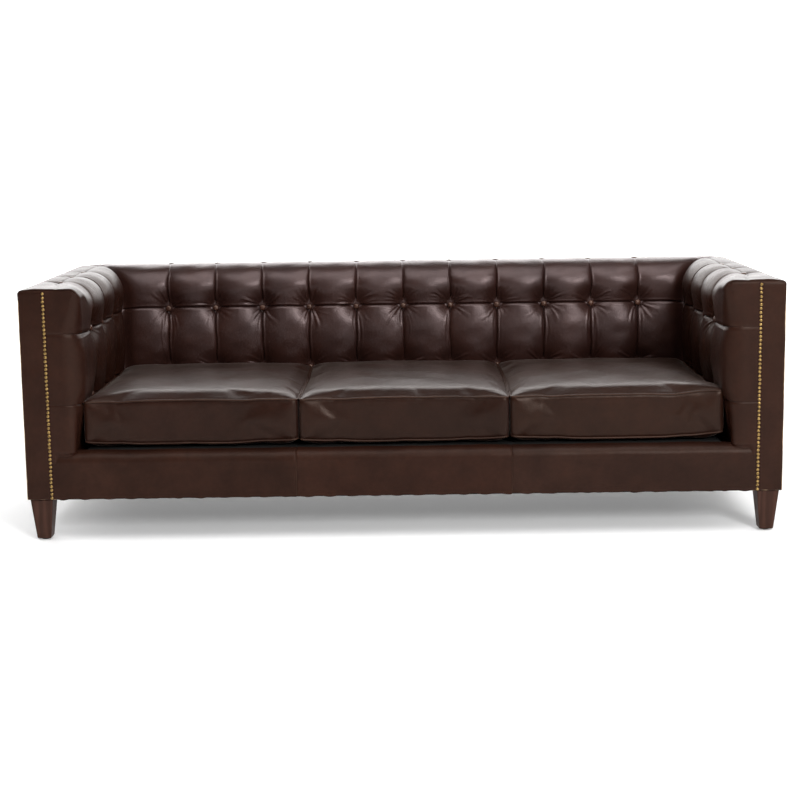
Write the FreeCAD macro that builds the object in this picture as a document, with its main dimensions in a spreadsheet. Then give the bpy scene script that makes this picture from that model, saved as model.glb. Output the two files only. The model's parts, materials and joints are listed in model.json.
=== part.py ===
"""Three-seat tuxedo chesterfield sofa: frame, suspension, upholstery, loose cushions, legs.

Millimetres, +X to the right as seen from the front, front faces -Y, +Z up,
origin on the floor under the middle of the bounding box.
"""
import FreeCAD, Part
import os
import Sketcher
from FreeCAD import Vector, Placement, Rotation

doc = FreeCAD.newDocument("sofa")
sheet = doc.addObject("Spreadsheet::Sheet", "dims")


class Size:
    """A number that remembers the sheet expression it came from."""

    def __init__(self, text, value):
        self.text, self.value = text, float(value)

    def _op(self, other, sign, fn, swap=False):
        if not isinstance(other, Size):
            v = float(other)
            other = Size(("%.6f" % v) if v >= 0 else "(0 - %.6f)" % -v, v)
        a, b = (other, self) if swap else (self, other)
        return Size("(%s %s %s)" % (a.text, sign, b.text), fn(a.value, b.value))

    def __add__(self, o): return self._op(o, "+", lambda a, b: a + b)
    def __radd__(self, o): return self._op(o, "+", lambda a, b: a + b, True)
    def __sub__(self, o): return self._op(o, "-", lambda a, b: a - b)
    def __rsub__(self, o): return self._op(o, "-", lambda a, b: a - b, True)
    def __mul__(self, o): return self._op(o, "*", lambda a, b: a * b)
    def __rmul__(self, o): return self._op(o, "*", lambda a, b: a * b, True)
    def __truediv__(self, o): return self._op(o, "/", lambda a, b: a / b)
    def __neg__(self): return Size("(0 - %s)" % self.text, -self.value)
    def __float__(self): return self.value


row_at = [0]


def dim(alias, value):
    row_at[0] += 1
    sheet.set("A%d" % row_at[0], alias)
    cell = "B%d" % row_at[0]
    sheet.set(cell, str(value))
    sheet.setAlias(cell, alias)
    return Size("dims." + alias, value)


def size(v):
    return v if isinstance(v, Size) else Size("0", 0) + v


# ---- driving dimensions -------------------------------------------------------------------
width = dim("sofa_width", 2240)
depth = dim("sofa_depth", 880)
top = dim("top_height", 752)
leg_top = dim("leg_top_height", 127)
seat_top = dim("front_rail_top", 268)
hide = dim("leather_thickness", 2)
board = dim("backing_board_thickness", 3)
ply = dim("ply_thickness", 22)
nail_rise = dim("nail_head_rise", 3)
arm_face = dim("arm_inner_face", 943)
back_face = dim("back_inner_face", 258)
roll = dim("top_roll_radius", 85)
edge_round = dim("outer_edge_radius", 12)
frame_bottom = dim("frame_bottom", 128)
rail_top = dim("rail_top_height", 235)
post_top = dim("post_top_height", 700)
frame_top = dim("frame_top_height", 725)
arm_frame = dim("arm_frame_inner", 998)
back_frame = dim("back_frame_front", 304)
web_gap = dim("webbing_thickness", 2)
post_in = dim("arm_post_inner", 1032)
block_in = dim("leg_block_inner", 1000)
block_deep = dim("leg_block_depth", 83)
block_top = dim("leg_block_top", 178)
nail_line = dim("nail_line", 1045)
nail_pitch = dim("nail_pitch", 11.7)
nail_low = dim("nail_lowest", 133)
nail_count = dim("nail_count", 53)
nail_head = dim("nail_head_radius", 5.5)
nail_shank = dim("nail_shank_radius", 0.8)
tuft_pitch = dim("tuft_pitch", 159.5)
tuft_upper = dim("tuft_row_upper", 608.5)
tuft_lower = dim("tuft_row_lower", 401.5)
tuft_top_arm = dim("tuft_row_top_arm", 1047.5)
tuft_top_back = dim("tuft_row_top_back", 366)
tuft_first_y = dim("arm_tuft_first", -192)
tuft_arm_pitch = dim("arm_tuft_pitch", 157.5)
tuft_mouth = dim("tuft_mouth_radius", 34)
tuft_deep = dim("tuft_depth", 19)
tuft_top_deep = dim("tuft_top_depth", 9)
button_r = dim("button_radius", 8.5)
button_h = dim("button_height", 6)
tie_r = dim("tie_radius", 0.8)
seat_front = dim("cushion_front", -396)
seat_back = dim("cushion_back", 246)
seat_half = dim("cushion_set_half_width", 941)
seat_gap = dim("cushion_gap", 0.6)
seat_base = dim("cushion_base", 268.4)
seat_high = dim("cushion_top", 443)
seat_round = dim("cushion_edge_radius", 26)
leg_side = dim("leg_side_top", 66)
leg_foot = dim("leg_side_bottom", 41)
leg_inset = dim("leg_inset", 8.5)
glide_high = dim("glide_height", 5)
glide_r = dim("glide_radius", 12)
bolt_r = dim("bolt_radius", 4)
tee_r = dim("tee_nut_radius", 11)
spring_wire = dim("spring_wire_radius", 2)
spring_z = dim("spring_height", 238.5)
zip_length = dim("zip_length", 460)
zip_z = dim("zip_height", 352)
doc.recompute()

half = width / 2
front = -(depth / 2) + nail_rise       # face of the front leather, behind the nail heads
rear = depth / 2
frame_out = half - hide - board        # outer face of the arm frame
frame_front = front + hide
frame_rear = rear - hide - board
post_rear = frame_front + ply          # back of the front posts, where the seat rails start


# ---- builders -----------------------------------------------------------------------------
kept = {}


def keep(obj, name):
    obj.Label = name
    kept[name] = obj
    return obj


def bind(obj, prop, v):
    obj.setExpression(prop, size(v).text)


def box(name, x0, x1, y0, y1, z0, z1):
    b = doc.addObject("Part::Box", name)
    bind(b, "Length", size(x1) - x0)
    bind(b, "Width", size(y1) - y0)
    bind(b, "Height", size(z1) - z0)
    bind(b, "Placement.Base.x", x0)
    bind(b, "Placement.Base.y", y0)
    bind(b, "Placement.Base.z", z0)
    return b


def plane_of(body, role):
    return [o for o in body.Origin.OriginFeatures if o.Role == role][0]


def prism(name, plane, corners, start, length):
    """A body padded from a closed outline. corners are (u, v) or (u, v, radius, cu, cv), where the
    corner is the end of a quarter arc about (cu, cv) that began at the corner before it.
    plane XZ pads along -Y, XY along +Z, YZ along +X; start is where the pad begins."""
    body = doc.addObject("PartDesign::Body", name)
    sk = body.newObject("Sketcher::SketchObject", name + "_outline")
    sk.AttachmentSupport = [(plane_of(body, plane + "_Plane"), "")]
    sk.MapMode = "FlatFace"
    n = len(corners)
    for i in range(n):
        a, b = corners[i], corners[(i + 1) % n]
        p = Vector(float(size(a[0])), float(size(a[1])), 0)
        q = Vector(float(size(b[0])), float(size(b[1])), 0)
        if len(b) == 2:
            sk.addGeometry(Part.LineSegment(p, q), False)
        else:
            r, c = float(size(b[2])), Vector(float(size(b[3])), float(size(b[4])), 0)
            m = (p + q) * 0.5 - c
            m.normalize()
            if (p - c).cross(q - c).z > 0:        # arcs are kept anticlockwise
                sk.addGeometry(Part.Arc(p, c + m * r, q), False)
            else:
                sk.addGeometry(Part.Arc(q, c + m * r, p), False)
    ends = []                       # each geometry's (start, end) point index on the walk
    for i in range(n):
        g = sk.Geometry[i]
        a = corners[i]
        p = Vector(float(size(a[0])), float(size(a[1])), 0)
        ends.append((1, 2) if (g.StartPoint - p).Length < 1e-4 else (2, 1))
    for i in range(n):
        j = (i + 1) % n
        sk.addConstraint(Sketcher.Constraint("Coincident", i, ends[i][1], j, ends[j][0]))
    for i in range(n):
        u, v = corners[i][0], corners[i][1]
        k = sk.addConstraint(Sketcher.Constraint("DistanceX", i, ends[i][0], float(size(u))))
        sk.renameConstraint(k, "u%d" % i)
        sk.setExpression("Constraints.u%d" % i, size(u).text)
        k = sk.addConstraint(Sketcher.Constraint("DistanceY", i, ends[i][0], float(size(v))))
        sk.renameConstraint(k, "v%d" % i)
        sk.setExpression("Constraints.v%d" % i, size(v).text)
        b = corners[(i + 1) % n]
        if len(b) > 2:
            k = sk.addConstraint(Sketcher.Constraint("Radius", i, float(size(b[2]))))
            sk.renameConstraint(k, "r%d" % i)
            sk.setExpression("Constraints.r%d" % i, size(b[2]).text)
    pad = body.newObject("PartDesign::Pad", name + "_pad")
    pad.Profile = sk
    bind(pad, "Length", length)
    along = {"XZ": "y", "XY": "z", "YZ": "x"}[plane]
    # the body slides along the plane's normal to where the pad begins
    bind(body, "Placement.Base." + along, size(start))
    body.Tip = pad
    return body


def cut(name, base, tool):
    c = doc.addObject("Part::Cut", name)
    c.Base, c.Tool = base, tool
    return c


def common(name, a, b):
    c = doc.addObject("Part::Common", name)
    c.Base, c.Tool = a, b
    return c


def group(name, objs):
    """Separate solids kept together as one node."""
    c = doc.addObject("Part::Compound", name)
    c.Links = objs
    return c


def join(name, objs):
    f = doc.addObject("Part::MultiFuse", name)
    f.Shapes = objs
    return f


def mirrored(name, src):
    m = doc.addObject("Part::Mirroring", name)
    m.Source, m.Normal, m.Base = src, Vector(1, 0, 0), Vector(0, 0, 0)
    return m


def made(name, shape):
    """A piece that neither a sketch nor a primitive fits."""
    f = doc.addObject("Part::Feature", name)
    f.Shape = shape
    f.Placement = Placement(Vector(0, 0, 0), Rotation())
    return f


def cyl(p, axis, r, length):
    return Part.makeCylinder(float(r), float(length), Vector(*[float(c) for c in p]), Vector(*axis))


# ---- timber and ply frame -------------------------------------------------------------------
keep(box("front_rail", -block_in, block_in, post_rear, post_rear + 28, frame_bottom, rail_top), "front_rail")
keep(box("rear_rail", ply - frame_out, frame_out - ply, frame_rear - ply, frame_rear, frame_bottom, rail_top), "rear_rail")
keep(box("side_rail_right", frame_out - ply, frame_out, post_rear, frame_rear, frame_bottom, rail_top), "side_rail_right")
keep(mirrored("side_rail_left", kept["side_rail_right"]), "side_rail_left")
spring_rail_front = back_frame + web_gap
keep(box("spring_rail", ply - frame_out, frame_out - ply, spring_rail_front, spring_rail_front + ply, rail_top - 50, rail_top), "spring_rail")

stretcher_top = rail_top - 50
keep(group("seat_stretchers", [
    box("stretcher_a", -(width / 7) - 35, -(width / 7) + 35, post_rear + 28, frame_rear - ply, stretcher_top - 35, stretcher_top),
    box("stretcher_b", width / 7 - 35, width / 7 + 35, post_rear + 28, frame_rear - ply, stretcher_top - 35, stretcher_top),
]), "seat_stretchers")

post_blank = box("post_blank", post_in, frame_out, frame_front, post_rear, frame_bottom, frame_top)
nail_z = [float(nail_low) + float(nail_pitch) * i for i in range(int(float(nail_count)))]
nail_holes = made("nail_holes", Part.makeCompound(
    [cyl((nail_line, front, z), (0, 1, 0), nail_shank, 14) for z in nail_z]))
keep(cut("arm_front_post_right", post_blank, nail_holes), "arm_front_post_right")
keep(mirrored("arm_front_post_left", kept["arm_front_post_right"]), "arm_front_post_left")

tack_z0, tack_z1 = size(285), size(335)
arm_tack = box("arm_tack_r", block_in, nail_line, post_rear, spring_rail_front, tack_z0, tack_z1)
keep(group("arm_tack_rails", [arm_tack, mirrored("arm_tack_l", arm_tack)]), "arm_tack_rails")
back_tack = keep(box("back_tack_rail", -nail_line, nail_line, spring_rail_front, spring_rail_front + ply, tack_z0, tack_z1), "back_tack_rail")

# ribs stand on the rails and carry the top rails; each is housed over the tack rail it crosses
arm_ribs = []
for i, (y0, y1) in enumerate([(-165, -143), (75, 97)]):
    r = box("arm_rib_blank%d" % i, block_in, frame_out, y0, y1, rail_top, post_top)
    arm_ribs.append(cut("arm_rib%d" % i, r, arm_tack))
arm_ribs.append(box("arm_rib_rear", block_in, frame_out, frame_rear - ply, frame_rear, rail_top, post_top))
keep(group("arm_ribs", arm_ribs + [mirrored("arm_rib_m%d" % i, r) for i, r in enumerate(arm_ribs)]), "arm_ribs")
back_ribs = []
for i, x in enumerate([-989, -400, 400, 989]):
    r = box("back_rib_blank%d" % i, x - ply / 2, x + ply / 2, spring_rail_front, frame_rear, rail_top, post_top)
    back_ribs.append(cut("back_rib%d" % i, r, back_tack))
keep(group("back_ribs", back_ribs), "back_ribs")

arm_tuft_y = [float(tuft_first_y) + float(tuft_arm_pitch) * i for i in range(3)]
back_tuft_x = [float(tuft_pitch) * i for i in range(-5, 6)]
rail_holes_arm = made("rail_holes_arm", Part.makeCompound(
    [cyl((tuft_top_arm, y, 690), (0, 0, 1), tie_r, 60) for y in arm_tuft_y]))
rail_holes_back = made("rail_holes_back", Part.makeCompound(
    [cyl((x, tuft_top_back, 690), (0, 0, 1), tie_r, 60) for x in back_tuft_x]))
top_r = cut("arm_top_r", box("arm_top_blank", block_in, frame_out, post_rear, frame_rear, post_top, frame_top), rail_holes_arm)
keep(group("arm_top_rails", [top_r, mirrored("arm_top_l", top_r)]), "arm_top_rails")
keep(cut("back_top_rail", box("back_top_blank", -block_in, block_in, spring_rail_front, frame_rear, post_top, frame_top), rail_holes_back), "back_top_rail")

# leg blocks: bored for the hanger bolt, counterbored on top for the tee nut
leg_x = half - leg_inset - leg_side / 2
leg_y_front = front + leg_inset + leg_side / 2
leg_y_rear = rear - leg_inset - leg_side / 2
corners = [(1, leg_y_front), (-1, leg_y_front), (1, leg_y_rear), (-1, leg_y_rear)]
tee_depth = 2
blocks = []
bolt_bore = made("bolt_bore", Part.makeCompound([
    cyl((s * float(leg_x), y, frame_bottom), (0, 0, 1), float(bolt_r) + 1.5, float(block_top) - float(frame_bottom) - 12)
    .fuse(cyl((s * float(leg_x), y, float(block_top) - 12), (0, 0, 1), float(bolt_r) + 2, 12))
    .fuse(cyl((s * float(leg_x), y, float(block_top) - tee_depth), (0, 0, 1), tee_r, tee_depth))
    for s, y in corners]))
for i, (s, y) in enumerate(corners):
    y0, y1 = (post_rear, post_rear + block_deep) if i < 2 else (frame_rear - ply - block_deep, frame_rear - ply)
    x0, x1 = (block_in, frame_out - ply) if s > 0 else (ply - frame_out, -block_in)
    blocks.append(box("leg_block_blank%d" % i, x0, x1, y0, y1, frame_bottom, block_top))
keep(cut("leg_blocks", group("leg_block_set", blocks), bolt_bore), "leg_blocks")

# ---- legs, bolts, glides ------------------------------------------------------------------------


def leg(name, sx, y):
    """A square leg whose four faces taper towards the floor."""
    body = doc.addObject("PartDesign::Body", name)
    sections = []
    for tag, side, z in (("foot", leg_foot, size(0)), ("head", leg_side, leg_top - glide_high)):
        sk = body.newObject("Sketcher::SketchObject", name + "_" + tag)
        sk.AttachmentSupport = [(plane_of(body, "XY_Plane"), "")]
        sk.MapMode = "FlatFace"
        sk.setExpression("AttachmentOffset.Base.z", z.text)
        h = side / 2
        pts = [(-h, -h), (h, -h), (h, h), (-h, h)]
        for i in range(4):
            a, b = pts[i], pts[(i + 1) % 4]
            sk.addGeometry(Part.LineSegment(Vector(float(a[0]), float(a[1]), 0), Vector(float(b[0]), float(b[1]), 0)), False)
        for i in range(4):
            sk.addConstraint(Sketcher.Constraint("Coincident", i, 2, (i + 1) % 4, 1))
        for i in range(4):
            for kind, tagc, v in (("DistanceX", "u", pts[i][0]), ("DistanceY", "v", pts[i][1])):
                k = sk.addConstraint(Sketcher.Constraint(kind, i, 1, float(v)))
                sk.renameConstraint(k, "%s%d" % (tagc, i))
                sk.setExpression("Constraints.%s%d" % (tagc, i), v.text)
        sections.append(sk)
    loft = body.newObject("PartDesign::AdditiveLoft", name + "_taper")
    loft.Profile = sections[0]
    loft.Sections = [sections[1]]
    loft.Ruled = True
    body.Tip = loft
    bind(body, "Placement.Base.x", leg_x * sx)
    bind(body, "Placement.Base.y", y)
    bind(body, "Placement.Base.z", glide_high)
    return body


leg_names = ["leg_front_right", "leg_front_left", "leg_rear_right", "leg_rear_left"]
leg_socket = made("leg_socket", Part.makeCompound([
    cyl((s * float(leg_x), y, float(leg_top) - 40), (0, 0, 1), bolt_r, 50) for s, y in corners]))
glide_socket = made("glide_socket", Part.makeCompound([
    cyl((s * float(leg_x), y, 0), (0, 0, 1), 1.6, 20) for s, y in corners]))
sockets = group("sockets", [leg_socket, glide_socket])
for name, (s, y) in zip(leg_names, corners):
    keep(cut(name, leg(name + "_taper_body", s, y), sockets), name)

bolts, tees, glides = [], [], []
for s, y in corners:
    c = (s * float(leg_x), float(y))
    z_block, z0 = float(block_top), float(leg_top) - 40
    bolts.append(cyl((c[0], c[1], z0), (0, 0, 1), bolt_r, z_block - tee_depth - 1 - z0))
    flange = cyl((c[0], c[1], z_block - tee_depth), (0, 0, 1), tee_r, tee_depth)
    barrel = cyl((c[0], c[1], z_block - 12), (0, 0, 1), float(bolt_r) + 2, 12)
    bore = cyl((c[0], c[1], z_block - 12), (0, 0, 1), bolt_r, 12)
    tees.append(flange.fuse(barrel).cut(bore).removeSplitter())
    foot = cyl((c[0], c[1], 0), (0, 0, 1), glide_r, glide_high)
    foot = foot.makeFillet(1.5, [e for e in foot.Edges if abs(e.BoundBox.ZMax) < 1e-6 and len(e.Vertexes) < 2])
    glides.append(foot.fuse(cyl((c[0], c[1], glide_high), (0, 0, 1), 1.6, 15)).removeSplitter())
keep(made("leg_bolts", Part.makeCompound(bolts)), "leg_bolts")
keep(made("leg_tee_nuts", Part.makeCompound(tees)), "leg_tee_nuts")
keep(made("leg_glides", Part.makeCompound(glides)), "leg_glides")
keep(cut("dust_cover", box("dust_blank", 10 - half, half - 10, front + 5, rear - 8, leg_top, frame_bottom), leg_socket), "dust_cover")

# ---- seat suspension ------------------------------------------------------------------------------
y_a, y_b = float(post_rear) + 14, float(spring_rail_front) + 11
x_span, n_half = 24.0, 25


def sinuous():
    """One zigzag spring: straight runs across the seat joined by half-round bends, with hooked ends."""
    step = (y_b - y_a) / n_half
    r = step / 2
    z = float(spring_z)
    edges = []
    at = Vector(0, y_a, z)
    side = 1
    # the first short run lies in the clip
    for i in range(n_half):
        reach = (x_span - r) * side
        a = Vector(at.x, y_a + i * step, z)
        b = Vector(reach, a.y, z)
        edges.append(Part.LineSegment(a, b).toShape())
        c = Vector(reach, a.y + step, z)
        edges.append(Part.Arc(b, Vector(reach + r * side, a.y + r, z), c).toShape())
        at = c
        side = -side
    edges.append(Part.LineSegment(at, Vector(0, at.y, z)).toShape())
    wire = Part.Wire(edges)
    ring = Part.Wire([Part.Circle(Vector(0, y_a, z), Vector(1, 0, 0), float(spring_wire)).toShape()])
    return wire.makePipeShell([ring], True, False)


spring_x = [-870, -735, -600, -465, -330, -200, -70, 70, 200, 330, 465, 600, 735, 870]
one_spring = sinuous()
springs = []
for x in spring_x:
    s = one_spring.copy()
    s.translate(Vector(x, 0, 0))
    springs.append(s)
keep(made("seat_springs", Part.makeCompound(springs)), "seat_springs")

clips = []
zc, rw = float(spring_z), float(spring_wire)
for x in spring_x:
    for y, d in ((y_a, 1), (y_b, -1)):
        xs = x + 5
        base = Part.makeBox(12, 20, float(zc) - rw - float(rail_top), Vector(xs - 6, y - 10, float(rail_top)))
        over = Part.makeBox(12, 12, 1.5, Vector(xs - 6, y - 6, zc + rw))
        web = Part.makeBox(12, 1.5, 2 * rw, Vector(xs - 6, y - rw - 1.5 if d > 0 else y + rw, zc - rw))
        clips.append(base.fuse([over, web]).removeSplitter())
keep(made("spring_clips", Part.makeCompound(clips)), "spring_clips")

deck_front = post_rear + 28
keep(box("deck_pad", -arm_face - 7, arm_face + 7, deck_front, back_face - 1, seat_top - 24, seat_top - 2), "deck_pad")
keep(box("deck_cover", -arm_face - 7, arm_face + 7, deck_front, back_face - 1, seat_top - 2, seat_top), "deck_cover")

# ---- front rail: padding and leather ----------------------------------------------------------------
rail_roll = dim("front_rail_roll", 18)
doc.recompute()
pad_main = prism("rail_pad_main", "YZ", [
    (frame_front, frame_bottom), (post_rear, frame_bottom), (post_rear, seat_top - hide),
    (front + rail_roll, seat_top - hide), (frame_front, seat_top - rail_roll, rail_roll - hide, front + rail_roll, seat_top - rail_roll),
], -post_in, post_in * 2)
pad_top = box("rail_pad_top", -post_in, post_in, post_rear, deck_front, rail_top + 9, seat_top - hide)
keep(join("front_rail_padding", [pad_main, pad_top]), "front_rail_padding")
rail_skin = prism("rail_skin", "YZ", [
    (front, leg_top), (frame_front, leg_top), (frame_front, seat_top - rail_roll),
    (front + rail_roll, seat_top - hide, rail_roll - hide, front + rail_roll, seat_top - rail_roll),
    (deck_front, seat_top - hide), (deck_front, seat_top), (front + rail_roll, seat_top),
    (front, seat_top - rail_roll, rail_roll, front + rail_roll, seat_top - rail_roll),
], -nail_line, nail_line * 2)
holes_both = group("holes_both", [nail_holes, mirrored("nail_holes_left", nail_holes)])
# past the posts the skin is only the flat front, up to where the arm's leather begins
post_pair = group("post_pair", [post_blank, mirrored("post_blank_left", post_blank)])
rail_end = box("rail_end", post_in, nail_line, front, frame_front, leg_top, seat_top)
rail_skin_whole = join("rail_skin_whole", [cut("rail_skin_cut", rail_skin, post_pair), rail_end, mirrored("rail_end_left", rail_end)])
keep(cut("front_rail_leather", rail_skin_whole, holes_both), "front_rail_leather")

# ---- arms and back: leather skins over foam, from two crossed outlines --------------------------------
low = seat_top


def across(name, plane, face, back_edge, off, bottom, start, length, open_out=0):
    """Outline across an arm or the back: inner face, large roll, flat top, small outer edge.
    off takes the hide's thickness in; open_out carries the outer side out past the skin."""
    f, t, r = face + off, top - off, roll - off
    e = back_edge - off
    pts = [(f, bottom), (f, top - roll), (face + roll, t, r, face + roll, top - roll), (back_edge - edge_round, t),
           (e, top - edge_round, edge_round - off, back_edge - edge_round, top - edge_round)]
    if open_out:
        pts += [(back_edge + open_out, top - edge_round), (back_edge + open_out, bottom)]
    else:
        pts += [(e, bottom)]
    return prism(name, plane, pts, start, length)


mitre = (rear - back_face) / (half - arm_face)       # the corner seam's slope, seen from above


def arm_plan(name, off, bottom, past=0):
    """From above: inner face, large front corner, flat front, and the mitre to the back's outer corner."""
    f, y, r = arm_face + off, front + off, roll - off
    pts = [(f, back_face + mitre * off + past), (f, front + roll), (arm_face + roll, y, r, arm_face + roll, front + roll),
           (half + 4, y), (half + 4, rear + mitre * 4 + past)]
    return prism(name, "XY", pts, bottom, top - bottom + 5)


def back_plan(name, off, bottom):
    f = back_face + mitre * off
    pts = [(-arm_face - off, f), (arm_face + off, f), (half + 4, rear + mitre * 4), (-half - 4, rear + mitre * 4)]
    return prism(name, "XY", pts, bottom, top - bottom + 5)


def dimples(grow):
    """Funnels under the tufting buttons, on the inner faces and along the tops."""
    g = grow
    arm, back = [], []
    rm, rb = float(tuft_mouth), float(button_r)
    d, dt = float(tuft_deep), float(tuft_top_deep)

    def funnel(p, n, deep):
        p0 = Vector(*[float(c) for c in p])
        n0 = Vector(*n)
        # widened by g all round, and deeper by g, with its mouth carried out past the face
        slope = (rm - rb) / deep
        r_base = rb + g
        r_face = rm + g * (1 + slope) if g else rm
        out = 3.0
        start = p0 - n0 * out
        cone = Part.makeCone(r_face + slope * out, r_base, deep + g + out, start, n0)
        return cone
    for z in (tuft_upper, tuft_lower):
        for y in arm_tuft_y:
            arm.append(funnel((arm_face, y, z), (1, 0, 0), d))
        for x in back_tuft_x:
            back.append(funnel((x, back_face, z), (0, 1, 0), d + 7))
    for y in arm_tuft_y:
        arm.append(funnel((tuft_top_arm, y, top), (0, 0, -1), dt))
    for x in back_tuft_x:
        back.append(funnel((x, tuft_top_back, top), (0, 0, -1), dt))
    return Part.makeCompound(arm), Part.makeCompound(back)


arm_dip, back_dip = dimples(0.0)
arm_dip_in, back_dip_in = dimples(float(hide))
arm_dip, back_dip = made("arm_dip", arm_dip), made("back_dip", back_dip)
arm_dip_in, back_dip_in = made("arm_dip_in", arm_dip_in), made("back_dip_in", back_dip_in)

long_y, long_x = (rear + 5, depth + 20), (-half - 5, width + 10)
arm_out = common("arm_out", across("arm_out_profile", "XZ", arm_face, half, size(0), low, *long_y), arm_plan("arm_out_plan", size(0), low))
arm_in = common("arm_in", across("arm_in_profile", "XZ", arm_face, half, hide, low, *long_y), arm_plan("arm_in_plan", hide, low))
# the solid that hollows a skin runs past every open edge of it
arm_void = common("arm_void", across("arm_void_profile", "XZ", arm_face, half, hide, low - 5, *long_y, 5), arm_plan("arm_void_plan", hide, low - 5, 25))
back_out = common("back_out", across("back_out_profile", "YZ", back_face, rear, size(0), low, *long_x), back_plan("back_out_plan", size(0), low))
back_in = common("back_in", across("back_in_profile", "YZ", back_face, rear, hide, low, *long_x), back_plan("back_in_plan", hide, low))
back_void = across("back_void_profile", "YZ", back_face, rear, hide, low - 5, *long_x, 5)

arm_out_d = cut("arm_out_d", arm_out, arm_dip)
arm_in_d = cut("arm_in_d", arm_in, arm_dip_in)
back_out_d = cut("back_out_d", back_out, back_dip)
back_in_d = cut("back_in_d", back_in, back_dip_in)

arm_core = cut("arm_core", arm_void, arm_dip_in)
back_core = cut("back_core", back_void, back_dip_in)
arm_skin = cut("arm_skin", arm_out_d, arm_core)
back_skin = cut("back_skin", back_out_d, back_core)

# twine holes through skin and foam
ties, knots, buttons_arm, buttons_back = [], [], [], []
tr = float(tie_r)


def tie_and_button(p, n, deep, tail):
    """Button on the floor of a funnel; twine from its back through foam and web to a knot."""
    p0, n0 = Vector(*[float(c) for c in p]), Vector(*n)
    floor = p0 + n0 * deep
    hgt, r = float(button_h), float(button_r)
    # a domed cap: sphere cap over a short cylinder
    base = Part.makeCylinder(r, 2.0, floor - n0 * 2.0, n0)
    rise = hgt - 2.0
    ball_r = (r * r + rise * rise) / (2 * rise)
    cap = Part.makeSphere(ball_r, floor - n0 * 2.0 + n0 * (ball_r - rise))
    keep_side = Part.makeCylinder(r, rise + 0.001, floor - n0 * hgt, n0)
    button = base.fuse(cap.common(keep_side)).removeSplitter()
    twine = Part.makeCylinder(tr, tail, floor, n0)
    knot = Part.makeCylinder(3.0, 2.0, floor + n0 * tail, n0)
    return button, twine.fuse(knot).removeSplitter(), Part.makeCylinder(tr, tail, floor, n0)


bores_arm, bores_back = [], []
for z in (tuft_upper, tuft_lower):
    for y in arm_tuft_y:
        b, t, h = tie_and_button((arm_face, y, z), (1, 0, 0), float(tuft_deep), float(block_in) - float(arm_face) - float(tuft_deep))
        buttons_arm.append(b); ties.append((t, True)); bores_arm.append(h)
    for x in back_tuft_x:
        dd = float(tuft_deep) + 7
        b, t, h = tie_and_button((x, back_face, z), (0, 1, 0), dd, float(spring_rail_front) - float(back_face) - dd)
        buttons_back.append(b); ties.append((t, False)); bores_back.append(h)
for y in arm_tuft_y:
    b, t, h = tie_and_button((tuft_top_arm, y, top), (0, 0, -1), float(tuft_top_deep), float(top) - float(tuft_top_deep) - float(post_top))
    buttons_arm.append(b); ties.append((t, True)); bores_arm.append(h)
for x in back_tuft_x:
    b, t, h = tie_and_button((x, tuft_top_back, top), (0, 0, -1), float(tuft_top_deep), float(top) - float(tuft_top_deep) - float(post_top))
    buttons_back.append(b); ties.append((t, False)); bores_back.append(h)


def flip(shape):
    return shape.mirror(Vector(0, 0, 0), Vector(1, 0, 0))


arm_bores = made("arm_bores", Part.makeCompound(bores_arm))
back_bores = made("back_bores", Part.makeCompound(bores_back))
keep(made("arm_buttons", Part.makeCompound(buttons_arm + [flip(b) for b in buttons_arm])), "arm_buttons")
keep(made("back_buttons", Part.makeCompound(buttons_back)), "back_buttons")
keep(made("button_ties", Part.makeCompound([t for t, _ in ties] + [flip(t) for t, a in ties if a])), "button_ties")

# skins: the strip outside the nail line belongs to the front border
strip_room = box("strip_room", nail_line, half + 5, front - 5, frame_front, low - 5, top - 8)
arm_skin_open = cut("arm_skin_open", cut("arm_skin_cut", arm_skin, strip_room), group("arm_skin_tools", [nail_holes, arm_bores]))
keep(arm_skin_open, "arm_leather_inside_right")
keep(mirrored("arm_leather_inside_left", arm_skin_open), "arm_leather_inside_left")
keep(cut("back_leather_inside", back_skin, back_bores), "back_leather_inside")

# foam fills the skins down to the frame
frame_room_arm = box("frame_room_arm", arm_frame, half + 5, post_rear, rear + 5, low - 5, frame_top)
post_room = box("post_room", post_in, half + 5, front - 5, post_rear, low - 5, frame_top)
frame_room_back = box("frame_room_back", -half - 5, half + 5, back_frame, rear + 5, low - 5, frame_top)
foam_room = join("foam_room", [frame_room_arm, post_room, frame_room_back])
arm_foam = cut("arm_foam", cut("arm_foam_blank", arm_in_d, foam_room), group("arm_foam_tools", [arm_bores, nail_holes]))
keep(arm_foam, "arm_foam_right")
keep(mirrored("arm_foam_left", arm_foam), "arm_foam_left")
frame_room_arm_l = mirrored("frame_room_arm_l", frame_room_arm)
keep(cut("back_foam", cut("back_foam_blank", back_in_d, join("foam_room_back", [frame_room_back, frame_room_arm, frame_room_arm_l])), back_bores), "back_foam")

# webbing strips behind the foam, tacked to the rails, pierced by the twine
webs = []
wz0, wz1 = float(tack_z0) + 5, float(frame_top) - 2
for x in back_tuft_x:
    webs.append(Part.makeBox(50, float(web_gap), wz1 - wz0, Vector(x - 25, float(back_frame), wz0)))
webs_arm = [Part.makeBox(float(web_gap), 50, wz1 - wz0, Vector(float(arm_frame), y - 25, wz0)) for y in arm_tuft_y]
web_all = Part.makeCompound(webs + webs_arm + [flip(w) for w in webs_arm])
web_cut = web_all.cut(Part.makeCompound(bores_back + bores_arm + [flip(b) for b in bores_arm]))
keep(made("webbing", web_cut), "webbing")

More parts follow.
